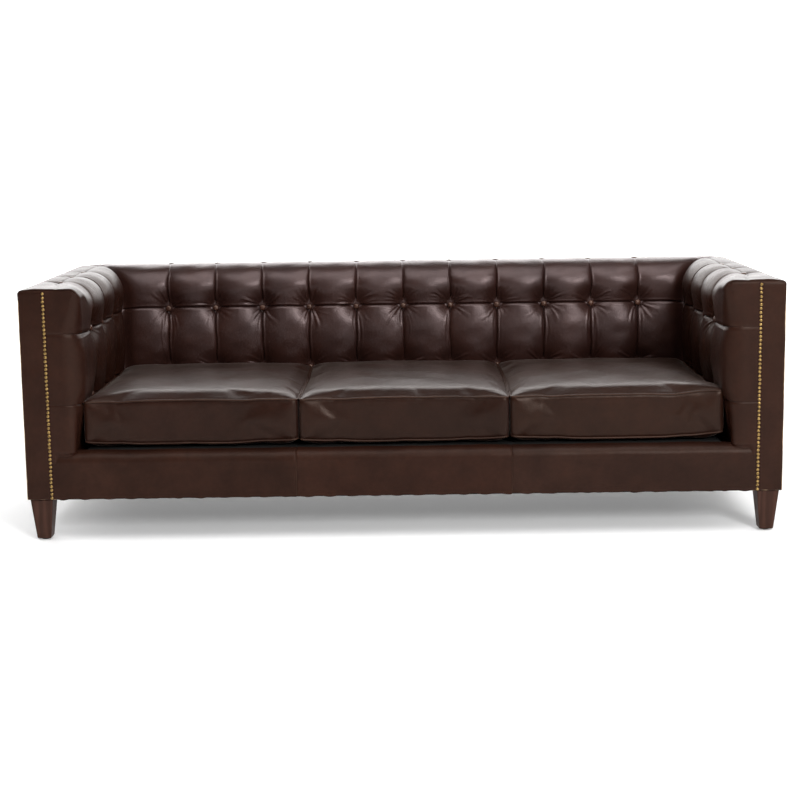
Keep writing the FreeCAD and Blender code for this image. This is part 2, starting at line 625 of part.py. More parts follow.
# front border strips, outer panels and the boards that back them
strip = prism("front_strip", "XZ", [
    (nail_line, leg_top), (half - hide, leg_top), (half - hide, top - edge_round), (half - edge_round - 2, top - 8), (nail_line, top - 8),
], frame_front, hide)
keep(cut("arm_front_leather_right", strip, nail_holes), "arm_front_leather_right")
keep(mirrored("arm_front_leather_left", kept["arm_front_leather_right"]), "arm_front_leather_left")
panel = box("arm_leather_outside_right", half - hide, half, front, rear - hide, leg_top, top - edge_round)
keep(panel, "arm_leather_outside_right")
keep(mirrored("arm_leather_outside_left", panel), "arm_leather_outside_left")
keep(box("back_leather_outside", -half, half, rear - hide, rear, leg_top, top - edge_round), "back_leather_outside")
arm_board = box("arm_board", frame_out, frame_out + board, frame_front, frame_rear, frame_bottom, frame_top - 2)
back_board = box("back_board", -half + hide, half - hide, frame_rear, frame_rear + board, frame_bottom, frame_top - 2)
keep(group("backing_boards", [arm_board, mirrored("arm_board_left", arm_board), back_board]), "backing_boards")

# brass nails: a domed head on a straight shank
nails = []
for z in nail_z:
    r, rise = float(nail_head), float(nail_rise)
    ball_r = (r * r + rise * rise) / (2 * rise)
    ball = Part.makeSphere(ball_r, Vector(float(nail_line), float(front) - rise + ball_r, z))
    head = ball.common(Part.makeBox(20, rise + 0.0, 20, Vector(float(nail_line) - 10, float(front) - rise, z - 10)))
    nails.append(head.fuse(cyl((nail_line, front, z), (0, 1, 0), nail_shank, 14)).removeSplitter())
keep(made("arm_nails_right", Part.makeCompound(nails)), "arm_nails_right")
keep(made("arm_nails_left", Part.makeCompound([flip(n) for n in nails])), "arm_nails_left")

# ---- loose seat cushions ------------------------------------------------------------------------------
seat_pitch = seat_half * 2 / 3
for i, side in enumerate(("left", "center", "right")):
    x0 = -seat_half + seat_pitch * i + (seat_gap / 2 if i else 0)
    x1 = -seat_half + seat_pitch * (i + 1) - (seat_gap / 2 if i < 2 else 0)

    def pillow(name, off):
        body = prism(name, "XY", [
            (x0 + off, seat_front + off), (x1 - off, seat_front + off), (x1 - off, seat_back - off), (x0 + off, seat_back - off),
        ], seat_base + off, seat_high - seat_base - size(off) * 2)
        doc.recompute()
        pad = body.Tip
        f = body.newObject("PartDesign::Fillet", name + "_round")
        names = []
        for k, e in enumerate(pad.Shape.Edges):
            names.append("Edge%d" % (k + 1))
        f.Base = (pad, names)
        bind(f, "Radius", seat_round - off)
        body.Tip = f
        return body
    outer = pillow("cushion_out_" + side, size(0))
    inner = pillow("cushion_in_" + side, hide)
    keep(inner, "seat_cushion_core_" + side)
    keep(cut("seat_cushion_cover_" + side, outer, inner), "seat_cushion_cover_" + side)
    xm = (x0 + x1) / 2
    tape = box("zip_tape_" + side, xm - zip_length / 2, xm + zip_length / 2, seat_back, seat_back + 0.8, zip_z - 13, zip_z + 13)
    teeth = box("zip_teeth_" + side, xm - zip_length / 2 + 4, xm + zip_length / 2 - 4, seat_back + 0.8, seat_back + 2.2, zip_z - 3, zip_z + 3)
    keep(join("cushion_zip_" + side, [tape, teeth]), "cushion_zip_" + side)
    xs = xm - zip_length / 2 + 6
    plate = box("slider_plate_" + side, xs, xs + 12, seat_back + 1.1, seat_back + 4.6, zip_z - 5.5, zip_z + 5.5)
    groove = box("slider_groove_" + side, xs - 1, xs + 13, seat_back, seat_back + 2.6, zip_z - 3.3, zip_z + 3.3)
    pull = box("slider_pull_" + side, xs + 3, xs + 9, seat_back + 4.6, seat_back + 6, zip_z - 26, zip_z + 2)
    keep(join("zip_slider_" + side, [cut("slider_body_" + side, plate, groove), pull]), "zip_slider_" + side)

# ---- screws that hold the frame together ----------------------------------------------------------------
doc.recompute()


def screw(p, n, length):
    """A countersunk wood screw with a plain shank, its head flush with the outer face."""
    p0, n0 = Vector(*[float(c) for c in p]), Vector(*n)
    return Part.makeCone(4.5, 2.0, 3.0, p0, n0).fuse(Part.makeCylinder(2.0, length, p0, n0)).removeSplitter()


screws = []
for s in (1, -1):
    # front post into leg block and into the arm tack rail, clear of the nail line
    for x, z, length in ((1056, 150, 45), (1056, 168, 45), (1037, 300, 60), (1037, 320, 60)):
        screws.append(screw((s * x, float(frame_front), z), (0, 1, 0), length))
    # side rail into the end of the rear rail
    for z in (200, 222):
        screws.append(screw((s * float(frame_out), float(frame_rear) - 11, z), (-s, 0, 0), 50))
    # top rail down into the rear rib of the arm
    for x in (1010, 1095):
        screws.append(screw((s * x, float(frame_rear) - 11, float(frame_top)), (0, 0, -1), 55))
# back top rail down into the middle ribs
for x in (-400, 400):
    for y in (330, 410):
        screws.append(screw((x, y, float(frame_top)), (0, 0, -1), 55))
screw_set = made("screw_set", Part.makeCompound(screws))
keep(made("frame_screws_made", Part.makeCompound(screws)), "frame_screws")
for name in ("rear_rail", "side_rail_right", "side_rail_left", "arm_front_post_right", "arm_front_post_left",
             "arm_tack_rails", "arm_ribs", "back_ribs", "arm_top_rails", "back_top_rail", "leg_blocks"):
    kept[name].Label = name + "_undrilled"
    keep(cut(name + "_drilled", kept[name], screw_set), name)

# ---- check and write ----------------------------------------------------------------------------------
doc.recompute()
bad = [o.Label for o in doc.Objects if "Invalid" in o.State or "Error" in o.State]
if bad:
    raise SystemExit("failed objects: %s" % bad)
os.makedirs("parts", exist_ok=True)
for name, obj in sorted(kept.items()):
    shape = obj.Shape
    if shape.isNull() or not shape.isValid() or not shape.Solids:
        raise SystemExit("bad shape: %s" % name)
for name, obj in sorted(kept.items()):
    obj.Shape.exportStep("parts/%s.step" % name)
print("%d nodes, %d solids" % (len(kept), sum(len(o.Shape.Solids) for o in kept.values())))
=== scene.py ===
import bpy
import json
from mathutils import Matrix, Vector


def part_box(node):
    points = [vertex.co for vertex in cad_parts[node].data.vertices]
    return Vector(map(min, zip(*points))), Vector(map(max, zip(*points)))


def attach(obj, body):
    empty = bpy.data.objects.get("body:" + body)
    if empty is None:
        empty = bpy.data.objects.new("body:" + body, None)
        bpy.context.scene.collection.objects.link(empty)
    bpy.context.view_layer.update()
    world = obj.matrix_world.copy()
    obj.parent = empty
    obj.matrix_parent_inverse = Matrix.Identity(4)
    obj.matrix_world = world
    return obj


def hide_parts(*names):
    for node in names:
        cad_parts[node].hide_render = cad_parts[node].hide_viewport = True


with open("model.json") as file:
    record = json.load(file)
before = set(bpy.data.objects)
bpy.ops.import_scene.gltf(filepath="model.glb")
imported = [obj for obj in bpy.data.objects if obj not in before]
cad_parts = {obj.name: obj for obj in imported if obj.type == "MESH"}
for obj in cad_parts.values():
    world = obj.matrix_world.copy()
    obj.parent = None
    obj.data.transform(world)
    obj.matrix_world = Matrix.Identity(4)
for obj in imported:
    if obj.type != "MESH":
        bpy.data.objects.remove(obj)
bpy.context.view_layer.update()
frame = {"nodes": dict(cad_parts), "record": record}

import bpy
import json
import math
import numpy as np
from mathutils import Matrix, Vector

scene = bpy.context.scene
ROOT = "sofa_frame"

# ---------------------------------------------------------------- sizes (m)
FACE = 0.943        # inner face of an arm, from the middle
BACK = 0.258        # inner face of the back
ROLL = 0.085        # radius of the roll along the inner top edges
RZ = 0.667          # height of the roll's centre
TOP = 0.752
SIDE = 1.120
REAR = 0.440
FRONT = -0.437
NAILX = 1.045
EDGE = 0.012
COLS_B = [k * 0.1595 for k in range(-5, 6)]
COLS_A = [-0.123, 0.0345, 0.192]          # as -y, from the back to the front
ROWZ = [0.4015, 0.6085]
TAU = 0.257                                # place of the top row across the flat top


# ---------------------------------------------------------------- helpers
def make_mesh(name, verts, faces, smooth=True, uv=None):
    """An object from arrays of points and of quads or triangles."""
    verts = np.asarray(verts, np.float32).reshape(-1, 3)
    m = bpy.data.meshes.new(name)
    if isinstance(faces, np.ndarray):
        n, k = faces.shape
        m.vertices.add(len(verts))
        m.vertices.foreach_set("co", verts.ravel())
        m.loops.add(n * k)
        m.loops.foreach_set("vertex_index", faces.astype(np.int32).ravel())
        m.polygons.add(n)
        m.polygons.foreach_set("loop_start", (np.arange(n) * k).astype(np.int32))
        m.polygons.foreach_set("loop_total", np.full(n, k, np.int32))
        m.update(calc_edges=True)
        m.validate()
    else:
        m.from_pydata([tuple(map(float, v)) for v in verts], [], [tuple(map(int, f)) for f in faces])
        m.update()
    m.polygons.foreach_set("use_smooth", np.full(len(m.polygons), smooth))
    o = bpy.data.objects.new(name, m)
    scene.collection.objects.link(o)
    return o


def grid_quads(nr, nc, flip=False, base=0, wrap_r=False, wrap_c=False):
    """Quads of an nr x nc grid of points, row by row."""
    r = np.arange(nr if wrap_r else nr - 1)
    c = np.arange(nc if wrap_c else nc - 1)
    R, C = np.meshgrid(r, c, indexing="ij")
    R2, C2 = (R + 1) % nr, (C + 1) % nc
    q = np.stack([R * nc + C, R * nc + C2, R2 * nc + C2, R2 * nc + C], -1).reshape(-1, 4)
    if flip:
        q = q[:, ::-1]
    return q + base


FINE = [0.0005, 0.0011, 0.0018, 0.0027, 0.0038, 0.0052, 0.007, 0.0092, 0.012, 0.015, 0.0185, 0.022]


def samples(lo, hi, lines, step, fine=FINE):
    """Places from lo to hi, close together at the lines."""
    pts = [lo, hi]
    for c in lines:
        if lo - 1e-9 <= c <= hi + 1e-9:
            pts.append(c)
        for f in fine:
            pts += [p for p in (c - f, c + f) if lo < p < hi]
    pts = np.unique(np.round(np.sort(pts), 6))
    keep = [pts[0]]
    firm = set(np.round([lo, hi, *lines], 6))
    for p in pts[1:]:
        if p - keep[-1] < 0.00035:
            if p in firm:
                keep[-1] = p if keep[-1] not in firm else keep[-1]
            continue
        keep.append(p)
    out = []
    for p, q in zip(keep, keep[1:]):
        n = max(1, math.ceil((q - p) / step - 1e-6))
        out += list(np.linspace(p, q, n, endpoint=False))
    return np.array(out + [keep[-1]])


def smooth01(x, lo, hi):
    t = np.clip((x - lo) / (hi - lo), 0, 1)
    return t * t * (3 - 2 * t)


def waves(seed, n, lo, hi):
    """A soft random field of two coordinates, about -1 to 1, with wavelengths from lo to hi."""
    r = np.random.default_rng(seed)
    k = [(2 * math.pi / r.uniform(lo, hi), r.uniform(0, 2 * math.pi), r.uniform(0, 2 * math.pi), r.uniform(0.5, 1)) for _ in range(n)]

    def f(x, y):
        s = 0
        for w, d, p, a in k:
            s = s + a * np.sin(w * (x * math.cos(d) + y * math.sin(d)) + p)
        return s / (0.75 * n) ** 0.5 / 1.2
    return f


def tube(name, path, radius, sides=10, closed=True, up=(0, 0, 1), squash=1.0):
    """A round welt or cord along a path of points, as one mesh."""
    p = np.asarray(path, float)
    if closed:
        t = np.roll(p, -1, 0) - np.roll(p, 1, 0)
    else:
        t = np.gradient(p, axis=0)
    t /= np.linalg.norm(t, axis=1)[:, None]
    upv = np.asarray(up, float)
    if upv.ndim == 1:
        upv = np.tile(upv, (len(p), 1))
    s = np.cross(t, upv)
    s /= np.linalg.norm(s, axis=1)[:, None]
    u = np.cross(s, t)
    a = np.linspace(0, 2 * math.pi, sides, endpoint=False)
    rad = np.broadcast_to(np.asarray(radius, float), (len(p),))
    v = p[:, None] + rad[:, None, None] * (np.cos(a)[None, :, None] * s[:, None] + squash * np.sin(a)[None, :, None] * u[:, None])
    q = grid_quads(len(p), sides, wrap_r=closed, wrap_c=True, flip=True)
    if closed:
        return make_mesh(name, v.reshape(-1, 3), q)
    verts = np.concatenate([v.reshape(-1, 3), p[:1], p[-1:]])
    n = len(p) * sides
    faces = [tuple(f) for f in q]
    faces += [(n, (j + 1) % sides, j) for j in range(sides)]
    faces += [(n + 1, n - sides + j, n - sides + (j + 1) % sides) for j in range(sides)]
    return make_mesh(name, verts, faces)


def lathe_parts(profile, sides, places, axes, scales=None, spins=None):
    """Points and quads of one turned shape, put at many places. The profile is (radius, height) pairs from the rim to the tip."""
    prof = np.asarray(profile, float)
    a = np.linspace(0, 2 * math.pi, sides, endpoint=False)
    ring = np.stack([np.cos(a), np.sin(a)], 1)
    base = np.concatenate([
        (prof[:, None, :1] * ring[None]), np.broadcast_to(prof[:, None, 1:], (len(prof), sides, 1))], -1).reshape(-1, 3)
    tip = len(base)
    base = np.vstack([base, [0, 0, prof[-1, 1]], [0, 0, prof[0, 1]]])
    quads = [tuple(f) for f in grid_quads(len(prof), sides, wrap_c=True)]
    last = (len(prof) - 1) * sides
    tris = [(last + j, last + (j + 1) % sides, tip) for j in range(sides)] + [((j + 1) % sides, j, tip + 1) for j in range(sides)]
    V, F = [], []
    for i, (pl, ax) in enumerate(zip(places, axes)):
        z = np.asarray(ax, float) / np.linalg.norm(ax)
        x = np.cross([0, 0, 1] if abs(z[2]) < 0.9 else [0, 1, 0], z)
        x /= np.linalg.norm(x)
        y = np.cross(z, x)
        s = 1.0 if scales is None else scales[i]
        sp = 0.0 if spins is None else spins[i]
        c, n = math.cos(sp), math.sin(sp)
        M = np.stack([c * x + n * y, -n * x + c * y, z], 1)
        V.append(base * s @ M.T + np.asarray(pl, float))
        F += [tuple(k + i * len(base) for k in f) for f in quads + tris]
    return np.concatenate(V), F


def join_parts(parts):
    """Several (points, faces) as one."""
    V, F, n = [], [], 0
    for v, f in parts:
        V.append(np.asarray(v, float).reshape(-1, 3))
        F += [tuple(int(k) + n for k in q) for q in f]
        n += len(V[-1])
    return np.concatenate(V), F


def set_mat(o, mat):
    o.data.materials.clear()
    o.data.materials.append(mat)
    return o


def finish_piece(o, mat, body=ROOT, nodes=()):
    set_mat(o, mat)
    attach(o, body)
    if nodes:
        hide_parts(*nodes)
    return o


# ---------------------------------------------------------------- materials
class Mat:
    def __init__(self, name):
        self.m = bpy.data.materials.new(name)
        self.m.use_nodes = True
        self.t = self.m.node_tree
        self.t.nodes.clear()
        self.out = self.t.nodes.new("ShaderNodeOutputMaterial")
        self.b = self.t.nodes.new("ShaderNodeBsdfPrincipled")
        self.t.links.new(self.b.outputs[0], self.out.inputs[0])
        self.co = self.t.nodes.new("ShaderNodeTexCoord").outputs["Object"]

    def node(self, kind, **kw):
        n = self.t.nodes.new(kind)
        for k, v in kw.items():
            setattr(n, k, v)
        return n

    def link(self, a, b):
        self.t.links.new(a, b)

    def scaled(self, s, rot=(0, 0, 0)):
        n = self.node("ShaderNodeMapping")
        n.inputs["Scale"].default_value = s if hasattr(s, "__len__") else (s, s, s)
        n.inputs["Rotation"].default_value = rot
        self.link(self.co, n.inputs["Vector"])
        return n.outputs[0]

    def noise(self, scale, detail=4, rough=0.55, vec=None, distortion=0.0):
        n = self.node("ShaderNodeTexNoise")
        n.inputs["Scale"].default_value = scale
        n.inputs["Detail"].default_value = detail
        n.inputs["Roughness"].default_value = rough
        n.inputs["Distortion"].default_value = distortion
        self.link(vec if vec is not None else self.co, n.inputs["Vector"])
        return n.outputs["Fac"]

    def voronoi(self, scale, feature="F1", vec=None, rand=1.0):
        n = self.node("ShaderNodeTexVoronoi", feature=feature)
        n.inputs["Scale"].default_value = scale
        if "Randomness" in n.inputs:
            n.inputs["Randomness"].default_value = rand
        self.link(vec if vec is not None else self.co, n.inputs["Vector"])
        return n.outputs["Distance"]

    def wave(self, scale, vec=None, distortion=0.0, detail=0.0, direction="X", kind="BANDS", profile="SIN"):
        n = self.node("ShaderNodeTexWave", wave_type=kind, wave_profile=profile)
        if kind == "BANDS":
            n.bands_direction = direction
        else:
            n.rings_direction = direction
        n.inputs["Scale"].default_value = scale
        n.inputs["Distortion"].default_value = distortion
        n.inputs["Detail"].default_value = detail
        self.link(vec if vec is not None else self.co, n.inputs["Vector"])
        return n.outputs["Fac"]

    def ramp(self, fac, stops, interp="LINEAR"):
        n = self.node("ShaderNodeValToRGB")
        n.color_ramp.interpolation = interp
        e = n.color_ramp.elements
        while len(e) < len(stops):
            e.new(0.5)
        for el, (p, c) in zip(e, stops):
            el.position = p
            el.color = (*c, 1) if hasattr(c, "__len__") else (c, c, c, 1)
        self.link(fac, n.inputs[0])
        return n.outputs[0]

    def maths(self, op, a, b=None, clamp=False):
        n = self.node("ShaderNodeMath", operation=op, use_clamp=clamp)
        for i, v in enumerate((a, b)):
            if v is None:
                continue
            if isinstance(v, (int, float)):
                n.inputs[i].default_value = v
            else:
                self.link(v, n.inputs[i])
        return n.outputs[0]

    def mix(self, fac, a, b, blend="MIX"):
        n = self.node("ShaderNodeMix", data_type="RGBA", blend_type=blend)
        for i, v in ((0, fac), (6, a), (7, b)):
            if isinstance(v, (int, float)):
                n.inputs[i].default_value = v
            elif isinstance(v, tuple):
                n.inputs[i].default_value = (*v, 1)
            else:
                self.link(v, n.inputs[i])
        return n.outputs[2]

    def bump(self, height, strength, distance, normal=None):
        n = self.node("ShaderNodeBump")
        n.inputs["Strength"].default_value = strength
        n.inputs["Distance"].default_value = distance
        self.link(height, n.inputs["Height"])
        if normal is not None:
            self.link(normal, n.inputs["Normal"])
        return n.outputs[0]

    def put(self, socket, v):
        s = self.b.inputs[socket]
        if isinstance(v, (int, float)):
            s.default_value = v
        elif isinstance(v, tuple):
            s.default_value = (*v, 1)
        else:
            self.link(v, s)
        return self


def leather(name, shift=0.0, tone_and_painted_light=(1, 1, 1), gloss=0.0, edge=True, spec=0.36, stint=(1.0, 0.78, 0.66), sheen=0.0):
    """Semi-aniline brown leather: cloudy colour, pores and cells, paler where it is rubbed."""
    M = Mat(name)
    v = M.node("ShaderNodeMapping")
    v.inputs["Location"].default_value = (shift, shift * 0.7, -shift * 0.4)
    M.link(M.co, v.inputs["Vector"])
    v = v.outputs[0]
    cloud = M.noise(3.2, 3, 0.6, v, 0.6)
    blot = M.noise(13, 5, 0.62, v, 0.3)
    fine = M.noise(90, 3, 0.6, v)
    # tone_and_painted_light scales the base colour of each part's copy. It is partly random tone between hides and
    # partly painted light: darker copies are painted shade on the front-facing parts, and the lighter button copy is a
    # painted highlight.
    base = M.ramp(cloud, [
        (0.30, tuple(c * t for c, t in zip((0.0200, 0.0076, 0.0049), tone_and_painted_light))),
        (0.52, tuple(c * t for c, t in zip((0.0275, 0.0112, 0.0073), tone_and_painted_light))),
        (0.74, tuple(c * t for c, t in zip((0.0360, 0.0155, 0.0104), tone_and_painted_light)))])
    b2 = M.ramp(blot, [(0.30, (0.78, 0.74, 0.74)), (0.55, (1, 1, 1)), (0.75, (1.16, 1.10, 1.04))])
    col = M.mix(1.0, base, b2, "MULTIPLY")
    b3 = M.ramp(fine, [(0.35, (0.93, 0.93, 0.93)), (0.65, (1.06, 1.05, 1.04))])
    col = M.mix(1.0, col, b3, "MULTIPLY")
    if edge:
        g = M.node("ShaderNodeNewGeometry")
        rub = M.ramp(g.outputs["Pointiness"], [(0.53, 0.0), (0.60, 1.0)])
        rub = M.maths("MULTIPLY", rub, M.ramp(blot, [(0.35, 0.15), (0.7, 0.6)]))
        col = M.mix(rub, col, (0.115, 0.066, 0.046))
    M.put("Base Color", col)
    r = M.ramp(blot, [(0.25, 0.47 - gloss), (0.75, 0.36 - gloss)])
    r2 = M.ramp(fine, [(0.3, 1.08), (0.7, 0.94)])
    M.put("Roughness", M.mix(1.0, r, r2, "MULTIPLY"))
    M.put("Specular IOR Level", spec)
    M.put("IOR", 1.5)
    M.put("Specular Tint", stint)
    if sheen:
        M.put("Sheen Weight", sheen)
        M.put("Sheen Roughness", 0.35)
        M.put("Sheen Tint", (1.0, 0.88, 0.80))
    M.put("Coat Weight", 0.02)
    M.put("Coat Roughness", 0.30)
    cells = M.voronoi(620, "F1", v)
    cell2 = M.voronoi(240, "DISTANCE_TO_EDGE", v)
    creas = M.ramp(cell2, [(0.0, 0.0), (0.10, 1.0)])
    h = M.maths("ADD", M.maths("MULTIPLY", cells, 0.55), M.maths("MULTIPLY", creas, 0.45))
    h = M.maths("ADD", h, M.maths("MULTIPLY", M.noise(1500, 2, 0.6, v), 0.35))
    n1 = M.bump(h, 0.30, 0.0006)
    broad = M.noise(26, 4, 0.6, v, 0.5)
    n2 = M.bump(broad, 0.20, 0.004, n1)
    M.put("Normal", n2)
    return M.m


def metal(name, col, dark, rough, scale=120, bump=0.15):
    M = Mat(name)
    n = M.noise(scale, 5, 0.65)
    M.put("Base Color", M.ramp(n, [(0.32, dark), (0.62, col)]))
    M.put("Metallic", 1.0)
    M.put("Roughness", M.ramp(M.noise(scale * 2.3, 3), [(0.3, rough + 0.14), (0.7, rough)]))
    M.put("Normal", M.bump(n, bump, 0.0004))
    return M.m


def wood(name, dark, mid, light, rough, axis="Z", scale=1.0, coat=0.0):
    """Straight-grained wood: long streaks, rings and pores along one axis."""
    M = Mat(name)
    s = {"X": (1.2, 16, 16), "Y": (16, 1.2, 16), "Z": (16, 16, 1.2)}[axis]
    v = M.scaled(tuple(k * scale for k in s))
    n = M.noise(2.2, 6, 0.62, v, 1.2)
    ring = M.wave(1.7, v, 5.5, 3.0, "DIAGONAL")
    f = M.maths("ADD", M.maths("MULTIPLY", n, 0.62), M.maths("MULTIPLY", ring, 0.38))
    M.put("Base Color", M.ramp(f, [(0.28, dark), (0.52, mid), (0.78, light)]))
    s2 = {"X": (14, 420, 420), "Y": (420, 14, 420), "Z": (420, 420, 14)}[axis]
    pores = M.noise(1.0, 2, 0.5, M.scaled(s2))
    M.put("Roughness", M.ramp(pores, [(0.3, rough + 0.12), (0.7, rough - 0.03)]))
    h = M.maths("ADD", M.maths("MULTIPLY", pores, 0.6), M.maths("MULTIPLY", f, 0.4))
    M.put("Normal", M.bump(h, 0.22, 0.0005))
    if coat:
        M.put("Coat Weight", coat)
        M.put("Coat Roughness", 0.25)
    return M.m


def weave(name, a, b, pitch, rough=0.85, bump=0.5, plane="XY"):
    """Plain-woven cloth: over and under threads in two directions."""
    M = Mat(name)
    k = 2 * math.pi / pitch / (2 * math.pi) * 0.5
    d1, d2 = {"XY": ("X", "Y"), "XZ": ("X", "Z"), "YZ": ("Y", "Z")}[plane]
    w1 = M.wave(k * 0.318 * 2, None, 0.25, 1.0, d1)
    w2 = M.wave(k * 0.318 * 2, None, 0.25, 1.0, d2)
    h = M.maths("MULTIPLY", w1, w2)
    n = M.noise(40, 4)
    c = M.mix(M.maths("ADD", M.maths("MULTIPLY", h, 0.75), M.maths("MULTIPLY", n, 0.3)), a, b)
    M.put("Base Color", c)
    M.put("Roughness", M.ramp(n, [(0.3, min(1.0, rough + 0.08)), (0.7, rough - 0.05)]))
    M.put("Specular IOR Level", 0.25)
    M.put("Normal", M.bump(h, bump, pitch * 0.4))
    return M.m


def foam_mat(name, a, b):
    M = Mat(name)
    v = M.voronoi(420, "F1")
    n = M.noise(22, 4)
    M.put("Base Color", M.mix(M.maths("ADD", M.maths("MULTIPLY", v, 0.5), M.maths("MULTIPLY", n, 0.4)), a, b))
    M.put("Roughness", M.ramp(n, [(0.3, 0.95), (0.7, 0.88)]))
    M.put("Normal", M.bump(v, 0.5, 0.001))
    return M.m


# Copies of one leather, one per part. Their base-colour scales are partly painted shade: the arm, front border, rail
# and cushion copies are made darker than the back's copy to darken the front-facing faces. The three rail copies also
# differ at random in tone.
L_BACK = leather("leather_back", 0.0, (0.92, 0.84, 0.92), 0.06, spec=0.60, stint=(1.0, 0.80, 0.80))
L_ARM = leather("leather_arm", 1.7, (0.78, 0.64, 0.58), 0.03, spec=0.17)
L_BORDER = leather("leather_border", 3.1, (0.80, 0.66, 0.58), spec=0.16)
L_RAIL = [leather("leather_rail_a", 4.3, (0.76, 0.64, 0.57), spec=0.15), leather("leather_rail_b", 5.9, (0.84, 0.69, 0.62), spec=0.15), leather("leather_rail_c", 7.7, (0.74, 0.66, 0.64), spec=0.16)]
L_CUSH = [leather("leather_cushion_a", 9.2, (0.58, 0.43, 0.38), 0.08, spec=0.20, sheen=0.08), leather("leather_cushion_b", 11.4, (0.54, 0.40, 0.34), 0.08, spec=0.20, sheen=0.08), leather("leather_cushion_c", 13.6, (0.60, 0.46, 0.36), 0.08, spec=0.20, sheen=0.08)]
L_OUT = leather("leather_outside", 15.5, (0.98, 0.98, 0.98))
L_WELT = leather("leather_welt", 17.5, (0.70, 0.58, 0.52), 0.04, spec=0.22)
# The button copy's base colour is scaled lighter than the leather as a painted highlight
L_BUTTON = leather("leather_button", 19.0, (1.5, 1.25, 1.1), 0.08, spec=0.6)
BRASS = metal("antique_brass_nail", (0.50, 0.33, 0.12), (0.08, 0.042, 0.014), 0.30, 260, 0.35)
BRASS2 = metal("antique_brass_zip", (0.50, 0.36, 0.18), (0.16, 0.10, 0.045), 0.36, 200, 0.2)
ZINC = metal("zinc_steel", (0.62, 0.63, 0.65), (0.42, 0.43, 0.46), 0.34, 150)
SPRING = metal("spring_steel", (0.30, 0.30, 0.31), (0.12, 0.12, 0.13), 0.40, 90)
LEG = wood("leg_wood_dark", (0.026, 0.0105, 0.0074), (0.037, 0.0155, 0.0108), (0.052, 0.022, 0.0155), 0.46, "Z", 1.0, 0.02)
for n_ in LEG.node_tree.nodes:
    if n_.type == "BSDF_PRINCIPLED":
        n_.inputs["Specular IOR Level"].default_value = 0.20
        n_.inputs["Specular Tint"].default_value = (1.0, 0.70, 0.58, 1)
FRAMEW = wood("frame_beech", (0.36, 0.22, 0.12), (0.50, 0.34, 0.20), (0.62, 0.45, 0.29), 0.62, "X", 0.8)
FRAMEWZ = wood("frame_beech_upright", (0.36, 0.22, 0.12), (0.50, 0.34, 0.20), (0.62, 0.45, 0.29), 0.62, "Z", 0.8)
FRAMEWY = wood("frame_beech_side", (0.36, 0.22, 0.12), (0.50, 0.34, 0.20), (0.62, 0.45, 0.29), 0.62, "Y", 0.8)
PLY = wood("birch_ply", (0.46, 0.32, 0.18), (0.58, 0.42, 0.26), (0.68, 0.52, 0.36), 0.66, "X", 0.6)
BOARD = foam_mat("fibre_board", (0.010, 0.0060, 0.0045), (0.018, 0.0105, 0.0080))
FOAM = foam_mat("foam_cream", (0.62, 0.55, 0.36), (0.74, 0.68, 0.48))
PLASTIC = Mat("black_plastic")
PLASTIC.put("Base Color", PLASTIC.ramp(PLASTIC.noise(60, 4), [(0.3, (0.010, 0.010, 0.010)), (0.7, (0.020, 0.019, 0.018))]))
PLASTIC.put("Roughness", PLASTIC.ramp(PLASTIC.noise(300, 3), [(0.3, 0.55), (0.7, 0.42)]))
PLASTIC.put("Normal", PLASTIC.bump(PLASTIC.noise(900, 2), 0.2, 0.0003))
PLASTIC = PLASTIC.m
FELT = weave("felt_pad", (0.05, 0.045, 0.04), (0.12, 0.11, 0.10), 0.0012, 0.95, 0.3)
BLACKCLOTH = weave("black_cloth", (0.006, 0.006, 0.006), (0.022, 0.021, 0.020), 0.0016, 0.9, 0.4)
JUTE = weave("jute_webbing", (0.30, 0.20, 0.10), (0.52, 0.39, 0.22), 0.003, 0.9, 0.7, "XZ")
TWINE = weave("twine", (0.42, 0.34, 0.22), (0.66, 0.57, 0.42), 0.0012, 0.85, 0.6, "YZ")
ZIPTAPE = weave("zip_tape", (0.012, 0.009, 0.008), (0.035, 0.026, 0.022), 0.0009, 0.85, 0.5, "XZ")
BY_SLOT = {
    "brown_leather": L_OUT, "antique_brass": BRASS2, "dark_leg_wood": LEG, "black_plastic": PLASTIC,
    "zinc_steel": ZINC, "spring_steel": SPRING, "foam": FOAM, "felt_pad": FELT, "black_cloth": BLACKCLOTH,
    "jute_webbing": JUTE, "twine": TWINE, "zip_tape": ZIPTAPE, "fibre_board": BOARD, "plywood": PLY, "frame_hardwood": FRAMEW,
}


# ---------------------------------------------------------------- the shared section of arm and back
def section():
    """The line that both the arm and the back follow, from the deck up the inner face, over the roll and the top, to the outer edge.
    Rows of: height, depth in from the inner face for the arm and for the back, and the normal's angle (0 faces inwards, 90 up)."""
    r1, r2 = ROWZ
    z0 = 0.236
    f = samples(z0, RZ, [r1, r2], 0.0042)
    f = f[:-1]
    rows = [(z, 0.0, 0.0, 0.0) for z in f]
    for p in np.linspace(0, 90, 30, endpoint=False):
        a = math.radians(p)
        q = ROLL * (1 - math.cos(a))
        rows.append((RZ + ROLL * math.sin(a), q, q, p))
    wa, wb = SIDE - EDGE - FACE - ROLL, REAR - EDGE - BACK - ROLL
    t = samples(0.0, wb, [TAU * wb], 0.0042)[:-1] / wb
    rows += [(TOP, ROLL + k * wa, ROLL + k * wb, 90.0) for k in t]
    for p in np.linspace(0, 90, 8):
        a = math.radians(p)
        rows.append((TOP - EDGE * (1 - math.cos(a)), ROLL + wa + EDGE * math.sin(a), ROLL + wb + EDGE * math.sin(a), 90.0 + p))
    rows.append((TOP - EDGE - 0.006, ROLL + wa + EDGE, ROLL + wb + EDGE, 180.0))
    R = np.array(rows)
    s = np.concatenate([[0], np.cumsum(np.hypot(np.diff(R[:, 0]), np.diff(R[:, 2])))])
    return R[:, 0], R[:, 1], R[:, 2], np.radians(R[:, 3]), s


